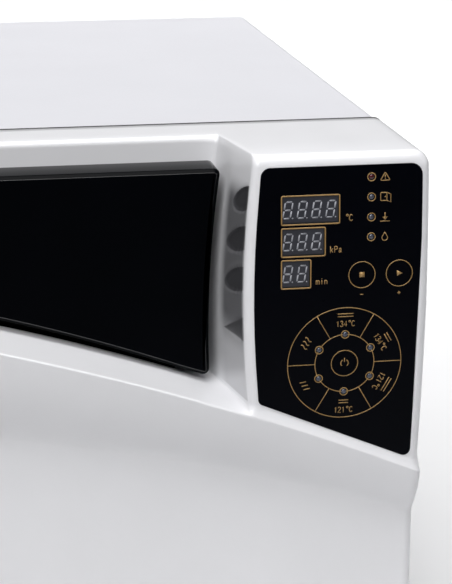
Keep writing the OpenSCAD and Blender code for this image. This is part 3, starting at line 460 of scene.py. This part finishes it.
def door_grid():
    """The whole front as one grid: X, Y, Z arrays of rows by columns, and each row's and column's role."""
    left, wall, right = door_columns()
    band = door_rows()
    n_left, n_wall, n_right = len(left), len(wall), len(right)
    cols = n_left + n_wall + n_right + EDGE
    low_n, step_n, up_n = 20, 30, 86
    rows = (EDGE + 1) + low_n + step_n + len(band) + up_n + (EDGE + 1)
    X = np.zeros((rows, cols))
    Z = np.full((rows, cols), 200.0) + np.linspace(-100, 100, rows)[:, None]
    recess = np.concatenate([np.ones(n_left), 1 - wall[:, 1] / WALL_DEPTH, np.zeros(n_right + EDGE)])
    spread = np.concatenate([np.zeros(n_left), smooth(11.0, 21.0, wall[:, 0]), np.ones(n_right + EDGE)])
    share = np.concatenate([np.zeros(EDGE + 1 + low_n + step_n), band[:, 1] / WALL_DEPTH,
                            np.ones(up_n + EDGE + 1)])
    for _ in range(6):
        c, b, r = crease(Z), brow(Z), right_edge(Z)
        X[:, :n_left] = left
        dx = wall[:, 0]
        inside = np.clip(dx / WALL_RUN, 0, 1)
        cw, bw = c[:, n_left:n_left + n_wall], b[:, n_left:n_left + n_wall]
        beyond = np.minimum(dx, 0) + np.maximum(dx - WALL_RUN, 0)
        X[:, n_left:n_left + n_wall] = cw + (bw - cw) * inside + beyond
        first = X[:, n_left + n_wall - 1:n_left + n_wall]
        rr = r[:, n_left + n_wall:n_left + n_wall + n_right] - EDGE_RIGHT
        X[:, n_left + n_wall:n_left + n_wall + n_right] = first + (rr - first) * right
        X[:, -EDGE:] = r[:, -EDGE:] - EDGE_RIGHT * (1 - np.sin(quarter[::-1]))[1:]
        rad = edge_radius(X[0])
        line = arc_top(SILL, X[0])
        foot = arc_top(STEP, X[0])
        bottom = BOTTOM + rad * (1 - np.sin(quarter))[:, None]
        k = EDGE + 1
        Z[:k] = bottom
        f = np.linspace(0, 1, low_n + 1)[1:, None]
        Z[k:k + low_n] = Z[k - 1] + (foot - 1.5 - Z[k - 1]) * f
        k += low_n
        near = np.linspace(-1, 1.5, 6)[:, None] + foot
        f = np.linspace(0, 1, step_n - 5)[1:, None]
        Z[k:k + 6] = near
        Z[k + 6:k + step_n] = near[-1] + (line - 1.6 - near[-1]) * f
        k += step_n
        tall = np.linspace(-1.6, SPREAD, len(band) + 1)[1:, None]
        Z[k:k + len(band)] = line + band[:, :1] * (1 - spread) + tall * spread
        k += len(band)
        start = Z[k - 1]
        f = np.linspace(0, 1, up_n + 1)[1:, None]
        Z[k:k + up_n] = start + (TOP - rad - start) * f
        Z[k + up_n - 1] = TOP - rad - 0.6
        k += up_n
        Z[k:] = TOP - rad * (1 - np.sin(quarter[::-1]))[:, None]
    above = np.concatenate([np.zeros(EDGE + 1 + low_n + step_n), smooth(0, 8, np.arange(len(band))),
                            np.ones(up_n + EDGE + 1)])
    Y = front_y(X, Z) + SEAT * (1 - recess)[None, :] * above[:, None]
    Y = Y + (WALL - Y) * recess[None, :] * share[:, None]
    # finger pocket: the sill's rows sink between its ends and behind its lip
    ends = smooth(GRIP_X[0] - 3, GRIP_X[0] + 3, X) * (1 - smooth(GRIP_X[1] - 3, GRIP_X[1] + 3, X))
    lip = smooth(GRIP_Y - 0.7, GRIP_Y + 0.7, Y)
    first = EDGE + 1 + low_n + step_n
    fade = np.zeros(rows)
    fade[first:first + len(band)] = 1
    fade[first + len(band) - 5:first + len(band)] = np.linspace(1, 0, 6)[1:]
    # this share also sinks the pocket and paints near black shade into it, through the pocket attribute
    sunk_and_painted_shade = ends * lip * fade[:, None] * recess[None, :]
    Z = Z - GRIP_DEPTH * sunk_and_painted_shade
    # dimples in the block's side wall
    on_wall = np.zeros(cols)
    on_wall[n_left + 9:n_left + n_wall - 9] = 1
    mask = on_wall[None, :] * (share > 0.999)[:, None]
    X = X + mask * dimple_depth(WALL - Y, Z)
    # outer edge rounded by a quarter circle in the distance to the outline
    rad = edge_radius(X)
    d = np.minimum(np.minimum(X - LEFT, right_edge(Z) - X), np.minimum(Z - BOTTOM, TOP - Z))
    inner = np.clip(rad - d, 0, rad)
    Y = Y + rad - np.sqrt(np.clip(rad ** 2 - inner ** 2, 0, None))
    # square corners drawn in to round ones
    X, Z = round_corners(X, Z)
    return X, Y, Z, dict(n_left=n_left, n_wall=n_wall, mask=mask, sunk_and_painted_shade=sunk_and_painted_shade)


def round_corners(X, Z, r=9.0):
    """Moves each corner's square of side r on to a quarter disc: every nested square becomes an arc."""
    X, Z = X.copy(), Z.copy()
    E = right_edge(Z)
    for sx in (-1, 1):
        for sz in (-1, 1):
            cx = LEFT + r if sx < 0 else E - r
            cz = BOTTOM + r if sz < 0 else TOP - r
            dx, dz = (X - cx) * sx, (Z - cz) * sz
            inside = (dx > 0) & (dz > 0)
            m = np.maximum(dx, dz)
            h = np.hypot(dx, dz)
            k = np.where(inside, m / np.where(h > 0, h, 1), 1)
            X = np.where(inside, cx + sx * dx * k, X)
            Z = np.where(inside, cz + sz * dz * k, Z)
    return X, Z


def build_door_front():
    """Front grid with an aperture under the control overlay, and a skirt from its outline straight back
    to the rear rim, with room for the hinges; Solidify gives the wall."""
    X, Y, Z, info = door_grid()
    rows, cols = X.shape
    verts = np.stack([X, Y, Z], -1).reshape(-1, 3)
    quads = np.array(grid_faces(rows, cols))
    centre = verts[quads].mean(1)
    line = arc_top(PANEL_FOOT, centre[:, 0])
    col = np.tile(np.arange(cols - 1), rows - 1)
    under = col >= info["n_left"] + info["n_wall"] - 1
    under &= centre[:, 0] < right_edge(centre[:, 2]) - APERTURE_EDGE
    under &= (centre[:, 2] > line) & (centre[:, 2] < APERTURE_TOP)
    quads = quads[~under]
    loop = np.concatenate([np.arange(cols), np.arange(1, rows) * cols + cols - 1,
                           (rows - 1) * cols + np.arange(cols - 2, -1, -1),
                           np.arange(rows - 2, 0, -1) * cols])
    ring = verts[loop]
    band_y = RIM - RIM_BAND
    skirt = []
    run = band_y - ring[:, 1]
    for y in (ring[:, 1] + run * 0.35, ring[:, 1] + run * 0.7, band_y, RIM):
        r = ring.copy()
        r[:, 1] = y
        skirt.append(r)
    n = len(loop)
    base = len(verts)
    verts = np.vstack([verts] + skirt)
    index = np.vstack([loop] + [base + n * i + np.arange(n) for i in range(4)])
    a, b = index[:-1], index[1:]
    side = np.stack([a, b, np.roll(b, -1, 1), np.roll(a, -1, 1)], -1)
    keep = np.ones(side.shape[:2], bool)
    mid = (ring + np.roll(ring, -1, 0)) / 2
    for z in HINGE_Z:
        keep[-1] &= ~((mid[:, 0] < LEFT + HINGE_ROOM[0]) & (np.abs(mid[:, 2] - z) < HINGE_ROOM[1]))
    faces = quads.tolist() + side[keep].tolist()
    obj = piece("door_front_moulding", verts, faces, "door", door_abs(), 50)
    # these attributes carry the masks of the painted shade on the side wall and in the finger pocket
    for name, grid in (("side_wall", info["mask"]), ("pocket", info["sunk_and_painted_shade"])):
        values = np.zeros(len(verts), np.float32)
        values[:rows * cols] = grid.ravel()
        obj.data.attributes.new(name, "FLOAT", "POINT").data.foreach_set("value", values)
    solidify(obj, SHELL)
    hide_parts("door_front", "side_strip")
    return obj


build_door_front()


# ---- handle ----

def handle_gloss():
    """The black gloss again, with a fuller lacquer along the bevel's front corner."""
    mat = black_gloss.copy()
    mat.name = "black_gloss_with_bright_rim"
    tree = mat.node_tree
    shader = next(n for n in tree.nodes if n.type == "BSDF_PRINCIPLED")
    rim = add(tree, "ShaderNodeAttribute", attribute_name="rim")
    tree.links.new(rim.outputs["Fac"], shader.inputs["Coat Weight"])
    shader.inputs["Coat IOR"].default_value = 1.8
    return mat


def outline_loop(points, radii, n=10):
    """A closed polygon with rounded corners."""
    p = np.asarray(points, float)
    wrapped = np.vstack([p[-1:], p, p[:1]])
    return rounded_path(wrapped, [0] + list(radii) + [0], n)[1:-1]


def inset(loop, d):
    """The loop moved inwards by d along its normals (the loop runs anticlockwise in X and Z)."""
    t = np.roll(loop, -1, 0) - np.roll(loop, 1, 0)
    t /= np.linalg.norm(t, axis=1)[:, None]
    return loop + d * np.stack([-t[:, 1], t[:, 0]], 1)


def resample(loop, step):
    """The closed loop with its points evenly spaced."""
    p = np.vstack([loop, loop[:1]])
    s = np.concatenate([[0], np.cumsum(np.linalg.norm(np.diff(p, axis=0), axis=1))])
    at = np.linspace(0, s[-1], int(s[-1] / step) + 1)[:-1]
    return np.stack([np.interp(at, s, p[:, 0]), np.interp(at, s, p[:, 1])], 1)


def slab(name, loop, y_front, y_back, bevel, r_back, body, slot, material):
    """A plate of that outline with closed faces: its front rim bevelled at 45 degrees, the bevel's two
    corners rounded, its back rim rounded. The attribute "rim" is 1 along the bevel's front corner."""
    section = [(r_back + 1.5, y_back), (0, y_back), (0, y_front + bevel), (bevel, y_front),
               (bevel + 1.6, y_front)]
    rings = rounded_path(section, [0, r_back, 1.2, 0.6, 0], 6)
    pts = []
    for d, y in rings:
        q = inset(loop, d)
        pts.append(np.stack([q[:, 0], np.full(len(q), y), q[:, 1]], 1))
    n = len(loop)
    faces = grid_faces(len(rings), n, close_cols=True)
    faces.append(list(range(n))[::-1])
    faces.append([(len(rings) - 1) * n + i for i in range(n)])
    obj = piece(name, np.vstack(pts), faces, body, material, 180)
    rim = np.zeros((len(rings), n), np.float32)
    rim[-7:-2] = 1
    obj.data.attributes.new("rim", "FLOAT", "POINT").data.foreach_set("value", rim.ravel())
    return obj


HANDLE_Y = (-221, -196)         # front and back of the handle
HANDLE_GAP = 1.7                # left between the handle and the block's side wall
HANDLE_LEFT = -168
HANDLE_TOP = 318
HANDLE_CORNER = 204.6           # height of the corner at the lower right


def handle_loop():
    """Wing outline, anticlockwise seen from the front: lower edge concentric with the sill, right edge
    parallel to the block's side wall."""

    def right(z):
        return crease(z) - HANDLE_GAP

    low_x = np.linspace(-156, 66, 40)
    low = np.stack([low_x, arc_top(HANDLE_FOOT, low_x)], 1)
    right_z = np.linspace(222, 304, 14)
    side = np.stack([right(right_z), right_z], 1)
    top = [(right(HANDLE_TOP), HANDLE_TOP), (HANDLE_LEFT, HANDLE_TOP)]
    foot = (HANDLE_LEFT, float(arc_top(HANDLE_FOOT, HANDLE_LEFT)))
    points = np.vstack([low, [(right(HANDLE_CORNER), HANDLE_CORNER)], side, top, [foot]])
    radii = [0] * len(low) + [3] + [0] * len(side) + [3, 12, 9]
    return resample(outline_loop(points, radii), 1.6)


handle = slab("handle_wing", handle_loop(), *HANDLE_Y, 2.0, 2.0, "handle", "black_gloss", handle_gloss())
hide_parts("handle")


# ---- seam between the door and the cover ----

# the seam's seal, raised to darken the gap: partly real seal, partly painted shade
BEAD = (2.4, 3.0)               # width across the seam and height
BEAD_DEPTH = 0.1                # set this far below the outline
BEAD_Y = -156.0
BEAD_FOOT = 72.0


def build_seam_bead():
    """A black rubber bead, the door's seal brought up just under the outline of the seam over the top and
    down the right side, so that it is also painted shade: a dark thing standing in for the shade deep in the
    seam. It is a rectangle of BEAD[0] by BEAD[1] swept along the case's outline, set below it, with both
    ends closed."""
    outline = rounded_path([(LEFT + 14, TOP), (RIGHT, TOP), (RIGHT, BEAD_FOOT)], [0, 6, 0], 10)
    along = np.gradient(outline, axis=0)
    along /= np.linalg.norm(along, axis=1)[:, None]
    inward = np.stack([along[:, 1], -along[:, 0]], 1)
    corners = [(BEAD_DEPTH, BEAD_Y), (BEAD_DEPTH, BEAD_Y + BEAD[0]),
               (BEAD_DEPTH + BEAD[1], BEAD_Y + BEAD[0]),
               (BEAD_DEPTH + BEAD[1], BEAD_Y)]
    pts = []
    for depth, y in corners:
        q = outline + inward * depth
        pts.append(np.stack([q[:, 0], np.full(len(q), y), q[:, 1]], 1))
    n = len(outline)
    faces = grid_faces(4, n, close_rows=True)
    faces.append([0, n, 2 * n, 3 * n])
    faces.append([n - 1, 4 * n - 1, 3 * n - 1, 2 * n - 1])
    return piece("seam_bead_and_shade", np.vstack(pts), faces, "case", rubber)


build_seam_bead()

# ---- print on the control overlay ----

def on_bow(points, lift):
    """Flat points (x, z) laid on the bowed front, lift millimetres proud."""
    p = np.asarray(points, float)
    return np.stack([p[:, 0], bow(p[:, 1]) - lift, p[:, 1]], 1)


class Sheet:
    """Collects flat shapes of a print layer, then makes one thin mesh of them."""

    def __init__(self):
        self.points, self.faces, self.count = [], [], 0

    def shape(self, points, faces):
        self.points.append(np.asarray(points, float))
        self.faces += [[i + self.count for i in f] for f in faces]
        self.count += len(points)

    def ribbon(self, path, width, closed=False):
        """A line of that width along a path, mitred by the path's own normals."""
        p = np.asarray(path, float)
        if closed:
            t = np.roll(p, -1, 0) - np.roll(p, 1, 0)
        else:
            t = np.gradient(p, axis=0)
        t /= np.linalg.norm(t, axis=1)[:, None]
        n = np.stack([-t[:, 1], t[:, 0]], 1) * width / 2
        both = np.vstack([p + n, p - n])
        self.shape(both, grid_faces(2, len(p), close_cols=closed))

    def line(self, a, b, width):
        k = np.linspace(0, 1, max(2, int(np.hypot(b[0] - a[0], b[1] - a[1]) / 4) + 1))[:, None]
        self.ribbon(np.asarray(a) * (1 - k) + np.asarray(b) * k, width)

    def ring(self, centre, r, width, start=0, stop=360):
        full = stop - start >= 360
        a = np.radians(np.linspace(start, stop, max(12, int((stop - start) / 5)) + 1))
        if full:
            a = a[:-1]
        self.ribbon(np.stack([centre[0] + r * np.cos(a), centre[1] + r * np.sin(a)], 1), width, full)

    def polygon(self, points):
        self.shape(points, [list(range(len(points)))])

    def disc(self, centre, r, n=20):
        a = np.arange(n) * 2 * math.pi / n
        self.polygon(np.stack([centre[0] + r * np.cos(a), centre[1] + r * np.sin(a)], 1))

    def strokes(self, glyphs, at, height, width, step=0.72, turn=0.0):
        """Plain stroke figures side by side from at, turned about at."""
        c, s = math.cos(turn), math.sin(turn)
        x = -(len(glyphs) - 1) * step * height / 2
        for g in glyphs:
            for path in FIGURES[g]:
                p = np.asarray(path, float) * height
                p[:, 0] += x - 0.25 * height
                p[:, 1] -= 0.5 * height
                p = np.stack([at[0] + p[:, 0] * c - p[:, 1] * s, at[1] + p[:, 0] * s + p[:, 1] * c], 1)
                self.ribbon(p, width)
            x += step * height

    def make(self, name, body, material, lift, y=None, thick=0.05):
        """One mesh of all the shapes, each point laid on the bowed front and lift millimetres proud of
        it, or on a flat at y, and thickened."""
        p = np.vstack(self.points)
        xyz = on_bow(p, lift) if y is None else np.stack([p[:, 0], np.full(len(p), y), p[:, 1]], 1)
        obj = piece(name, xyz, self.faces, body, material, 30)
        # the shapes face the front
        mesh = obj.data
        normals = np.zeros(len(mesh.polygons) * 3)
        mesh.polygons.foreach_get("normal", normals)
        flip = normals.reshape(-1, 3)[:, 1] > 0
        for f in np.flatnonzero(flip):
            mesh.polygons[int(f)].flip()
        mesh.update()
        solidify(obj, thick)
        return obj


# Stroke figures on a unit height, half a unit wide.
FIGURES = {
    "1": [[(0.1, 0.8), (0.28, 1), (0.28, 0)]],
    "2": [[(0.02, 0.8), (0.1, 0.95), (0.25, 1), (0.42, 0.93), (0.47, 0.75), (0.4, 0.55), (0, 0), (0.5, 0)]],
    "3": [[(0.02, 0.85), (0.2, 1), (0.42, 0.92), (0.45, 0.72), (0.35, 0.57), (0.2, 0.54), (0.38, 0.5),
           (0.5, 0.3),
           (0.42, 0.08), (0.22, 0), (0, 0.14)]],
    "4": [[(0.38, 0), (0.38, 1), (0, 0.3), (0.52, 0.3)]],
    "C": [[(0.5, 0.8), (0.35, 0.98), (0.15, 0.93), (0.02, 0.65), (0.02, 0.35), (0.15, 0.07), (0.35, 0.02),
           (0.5, 0.2)]],
    "deg": [[(0.3, 0.75), (0.42, 0.8), (0.48, 0.9), (0.42, 1.0), (0.3, 1.05), (0.2, 1.0), (0.16, 0.9),
             (0.2, 0.8),
             (0.3, 0.75)]],
    "k": [[(0.05, 0), (0.05, 1)], [(0.42, 0.65), (0.07, 0.3)], [(0.18, 0.42), (0.45, 0)]],
    "P": [[(0.03, 0), (0.03, 1), (0.3, 1), (0.46, 0.9), (0.48, 0.73), (0.4, 0.55), (0.05, 0.5)]],
    "a": [[(0.05, 0.55), (0.2, 0.67), (0.38, 0.6), (0.4, 0.02)],
          [(0.4, 0.38), (0.15, 0.36), (0.03, 0.2), (0.12, 0.02),
                                                               (0.28, 0.03), (0.4, 0.18)]],
    "m": [[(0.0, 0), (0.0, 0.68)], [(0, 0.5), (0.14, 0.66), (0.25, 0.5), (0.25, 0)],
          [(0.25, 0.5), (0.4, 0.66), (0.52, 0.5), (0.52, 0)]],
    "i": [[(0.25, 0), (0.25, 0.66)], [(0.25, 0.84), (0.25, 0.94)]],
    "n": [[(0.05, 0), (0.05, 0.68)], [(0.05, 0.5), (0.24, 0.66), (0.42, 0.5), (0.42, 0)]],
    "+": [[(0.02, 0.45), (0.5, 0.45)], [(0.26, 0.21), (0.26, 0.69)]],
    "-": [[(0.02, 0.45), (0.5, 0.45)]],
}

LAMP = (162.5, 317.4, 10.45)
DISPLAY = (115.15, 309.06, 16.83, 15.24, 7.5)
DIGITS = (4, 3, 2)
KEYS = {"stop_key": (157.86, 266.1), "start_key": (177.8, 266.1), "program_key": (149.5, 218.25)}
PROGRAM = (149.5, 218.25, 15.87, 30.46)
LIFT = 0.06


def frame_path(x0, z0, x1, z1):
    return outline_loop([(x0, z0), (x1, z0), (x1, z1), (x0, z1)], [0.5] * 4, 3)


gold = Sheet()
for k, n in enumerate(DIGITS):
    z1 = DISPLAY[1] - k * DISPLAY[2]
    x1 = DISPLAY[0] + n * DISPLAY[4] + 0.7
    box = frame_path(DISPLAY[0] + 0.15, z1 - DISPLAY[3] + 0.15, x1 - 0.15, z1 - 0.15)
    gold.ribbon(resample(box, 0.5), 0.7, True)
gold.strokes(["deg", "C"], (150.6, 296.6), 3.4, 0.45, 0.62)
gold.strokes(["k", "P", "a"], (143.9, 280.2), 3.3, 0.45, 0.68)
gold.strokes(["m", "i", "n"], (136.6, 263.6), 3.3, 0.45, 0.66)
for k in range(4):
    gold.ring((LAMP[0], LAMP[1] - k * LAMP[2]), 2.05, 0.5)
# a sign beside each status lamp: alarm, door, drain, water
ax, az = LAMP[0] + 7.2, LAMP[1]
gold.ribbon(outline_loop([(ax - 2.6, az - 2), (ax + 2.6, az - 2), (ax, az + 2.3)], [0.4] * 3, 3), 0.45, True)
gold.line((ax, az + 0.9), (ax, az - 0.6), 0.5)
gold.disc((ax, az - 1.25), 0.28, 10)
az -= LAMP[2]
gold.ribbon(frame_path(ax - 2.4, az - 2.1, ax + 0.9, az + 2.1), 0.45, True)
gold.ribbon([(ax + 0.9, az + 2.1), (ax + 3.0, az + 1.2), (ax + 3.0, az - 3.0), (ax + 0.9, az - 2.1)], 0.4)
gold.disc((ax + 0.1, az), 0.35, 10)
az -= LAMP[2]
gold.line((ax, az + 2.2), (ax, az - 0.6), 0.6)
gold.polygon([(ax - 1.4, az - 0.1), (ax, az - 1.8), (ax + 1.4, az - 0.1)])
gold.line((ax - 2.6, az - 2.4), (ax + 2.6, az - 2.4), 0.45)
az -= LAMP[2]
drop = np.radians(np.linspace(-220, 40, 20))
bowl = np.stack([ax + 1.5 * np.cos(drop), az - 0.7 + 1.5 * np.sin(drop)], 1)
gold.ribbon(np.vstack([bowl, [(ax, az + 2.4)]]), 0.45, True)
for name, sign in (("stop_key", "-"), ("start_key", "+")):
    kx, kz = KEYS[name]
    gold.ring((kx, kz), 7.0, 0.42)
    gold.strokes([sign], (kx, kz - 10.4), 3.4, 0.5)
px, pz, lamp_ring, outer = PROGRAM
gold.ring((px, pz), outer, 0.42)
gold.ring((px, pz), lamp_ring, 0.42)
gold.ring((px, pz), 7.1, 0.42)
for k in range(6):
    a = math.radians(60 * k)
    gold.line((px + (lamp_ring + 0.2) * math.cos(a), pz + (lamp_ring + 0.2) * math.sin(a)),
              (px + outer * math.cos(a), pz + outer * math.sin(a)), 0.42)
    b = math.radians(60 * k + 30)
    gold.ring((px + lamp_ring * math.cos(b), pz + lamp_ring * math.sin(b)), 2.05, 0.5)


def sector(k, kind):
    """A sector's mark at its middle, turned to stand along the ring."""
    b = math.radians(60 * k + 30)
    c = np.array([px, pz])
    out = np.array([math.cos(b), math.sin(b)])
    turn = b - math.pi / 2
    if out[1] < -0.9:
        turn += math.pi
    up = np.array([-math.sin(turn), math.cos(turn)])
    along = np.array([math.cos(turn), math.sin(turn)])
    mid = c + out * (lamp_ring + outer + 1.6) / 2
    if kind.startswith("1"):
        gold.strokes([*kind, "deg", "C"], mid - up * 2.2, 3.1, 0.42, 0.66, turn)
        top = mid + up * 2.3
    else:
        top = mid
    return top, up, along


def bars(top, up, along, widths, w=0.5):
    for i, half in enumerate(widths):
        p = top + up * (0.9 - 1.5 * i)
        gold.line(p - along * half, p + along * half, w)


# sectors: wrapped load and solid load at each temperature, dry cycle, test
for k, kind, half in ((1, "134", 4.2), (0, "134", 2.6), (5, "121", 4.2), (4, "121", 2.6)):
    top, up, along = sector(k, kind)
    bars(top, up, along, (half, half))
top, up, along = sector(3, "test")
for i in (-1, 0, 1):
    gold.line(top + along * (2.2 * i) - up * 1.6, top + along * (2.2 * i + 1.2) + up * 1.6, 0.5)
top, up, along = sector(2, "dry")
for i in (-1, 0, 1):
    q = np.linspace(-1, 1, 9)[:, None]
    gold.ribbon(top + up * (q * 2.0) + along * (2.3 * i + 0.6 * np.sin(q * 3.0)), 0.5)
gold.make("gold_print", "door", gold_ink, LIFT)

# marks on the key caps
stop_mark = Sheet()
sx, sz = KEYS["stop_key"]
stop_mark.polygon([(sx - 1.35, sz - 1.35), (sx + 1.35, sz - 1.35), (sx + 1.35, sz + 1.35),
                   (sx - 1.35, sz + 1.35)])
stop_mark.make("stop_key_mark", "stop_key", gold_ink, LIFT)
start_mark = Sheet()
sx, sz = KEYS["start_key"]
start_mark.polygon([(sx - 1.3, sz - 1.55), (sx + 1.7, sz), (sx - 1.3, sz + 1.55)])
start_mark.make("start_key_mark", "start_key", gold_ink, LIFT)
program_mark = Sheet()
program_mark.ring((px, pz), 2.0, 0.5, 120, 420)
program_mark.line((px, pz + 0.6), (px, pz + 2.9), 0.5)
program_mark.make("program_key_mark", "program_key", gold_ink, LIFT)

# display segments
MODULE_Y = (-250.1, -250.6, -250.9)
DIGIT_SLANT = 0.16
for k, n in enumerate(DIGITS):
    digits = Sheet()
    cz = DISPLAY[1] - k * DISPLAY[2] - DISPLAY[3] / 2
    for i in range(n):
        cx = DISPLAY[0] + 0.35 + DISPLAY[4] * (i + 0.5) - 0.5
        hw, hh, t = 1.95, 4.3, 0.42

        def lay(points):
            p = np.asarray(points, float)
            return np.stack([cx + p[:, 0] + DIGIT_SLANT * p[:, 1], cz + p[:, 1]], 1)

        def bar_h(z):
            a = hw - 0.28
            return lay([(-a, z), (-a + t, z - t), (a - t, z - t), (a, z), (a - t, z + t), (-a + t, z + t)])

        def bar_v(x, z0, z1):
            a, b = z0 + 0.28, z1 - 0.28
            return lay([(x, a), (x + t, a + t), (x + t, b - t), (x, b), (x - t, b - t), (x - t, a + t)])

        for z in (-hh, 0, hh):
            digits.polygon(bar_h(z))
        for x in (-hw, hw):
            digits.polygon(bar_v(x, -hh, 0))
            digits.polygon(bar_v(x, 0, hh))
        digits.disc((cx + hw + 0.55, cz - hh), 0.42, 10)
    digits.make("display_digits_" + str(k + 1), "door", segment_grey, 0, MODULE_Y[k] - 0.02, 0.05)


# ---- lamps ----

def dome(name, centres, r, height, body, material):
    """Low domes on the bowed front: a cap of a sphere turned round each lamp's axis."""
    rings, n = 7, 20
    verts, faces = [], []
    a = np.arange(n) * 2 * math.pi / n
    for i, (x, z) in enumerate(centres):
        start = i * (rings * n + 2)
        y0 = float(bow(z)) + 0.35
        t = np.linspace(0, math.pi / 2, rings + 1)[:-1]
        rr = r * np.cos(t)
        yy = y0 - height * np.sin(t)
        P = np.stack([x + rr[:, None] * np.cos(a), np.repeat(yy[:, None], n, 1),
                      z + rr[:, None] * np.sin(a)], -1)
        verts.append(np.vstack([P.reshape(-1, 3), [(x, y0 - height, z), (x, y0, z)]]))
        faces += grid_faces(rings, n, close_cols=True, start=start)
        last = start + (rings - 1) * n
        faces += [[last + j, last + (j + 1) % n, start + rings * n] for j in range(n)]
        faces += [[start + (j + 1) % n, start + j, start + rings * n + 1] for j in range(n)]
    return piece(name, np.vstack(verts), faces, body, material, 60)


status = [(LAMP[0], LAMP[1] - k * LAMP[2]) for k in range(4)]
around = [(px + lamp_ring * math.sin(math.radians(60 * k)), pz + lamp_ring * math.cos(math.radians(60 * k)))
          for k in range(6)]
dome("alarm_lamp_lens", status[:1], 1.4, 0.9, "door", lamp_red)
dome("lamp_lenses", status[1:] + around, 1.4, 0.9, "door", lamp_clear)

# ---- studio ----

FLOOR_HALF = 30.0               # metres
floor_mesh = bpy.data.meshes.new("floor")
corners = [(x * FLOOR_HALF, y * FLOOR_HALF, 0) for x, y in ((-1, -1), (1, -1), (1, 1), (-1, 1))]
floor_mesh.from_pydata(corners, [], [(0, 1, 2, 3)])
floor = bpy.data.objects.new("floor", floor_mesh)
scene.collection.objects.link(floor)
floor_mesh.materials.append(finish("pale_studio_floor", "#d4d4d5", "#d1d1d2", 0.7, 400.0, 0.0, patch=900))

world = bpy.data.worlds.new("studio")
scene.world = world
world.use_nodes = True
world.node_tree.nodes["Background"].inputs["Color"].default_value = (1, 1, 1, 1)
world.node_tree.nodes["Background"].inputs["Strength"].default_value = 0.03


def softbox(name, at, aim, size, power, spread):
    """A rectangular soft light at a place, aimed at a point, with its beam no wider than spread degrees."""
    light = bpy.data.lights.new(name, "AREA")
    light.shape = "RECTANGLE"
    light.size, light.size_y = size
    light.energy = power
    light.spread = math.radians(spread)
    obj = bpy.data.objects.new(name, light)
    scene.collection.objects.link(obj)
    obj.location = at
    obj.rotation_euler = (Vector(aim) - Vector(at)).to_track_quat("-Z", "Y").to_euler()
    return obj


softbox("key_softbox", (-0.8, -2.2, 2.15), (0, -0.1, 0.25), (1.6, 1.0), 6.3, 60)
softbox("overhead_softbox", (0.1, -0.75, 2.4), (0.05, -0.15, 0.3), (2.0, 1.0), 7.4, 64)
softbox("backdrop_softbox", (0.6, 2.2, 2.3), (0.55, 1.9, 0), (4.4, 2.8), 80, 80)
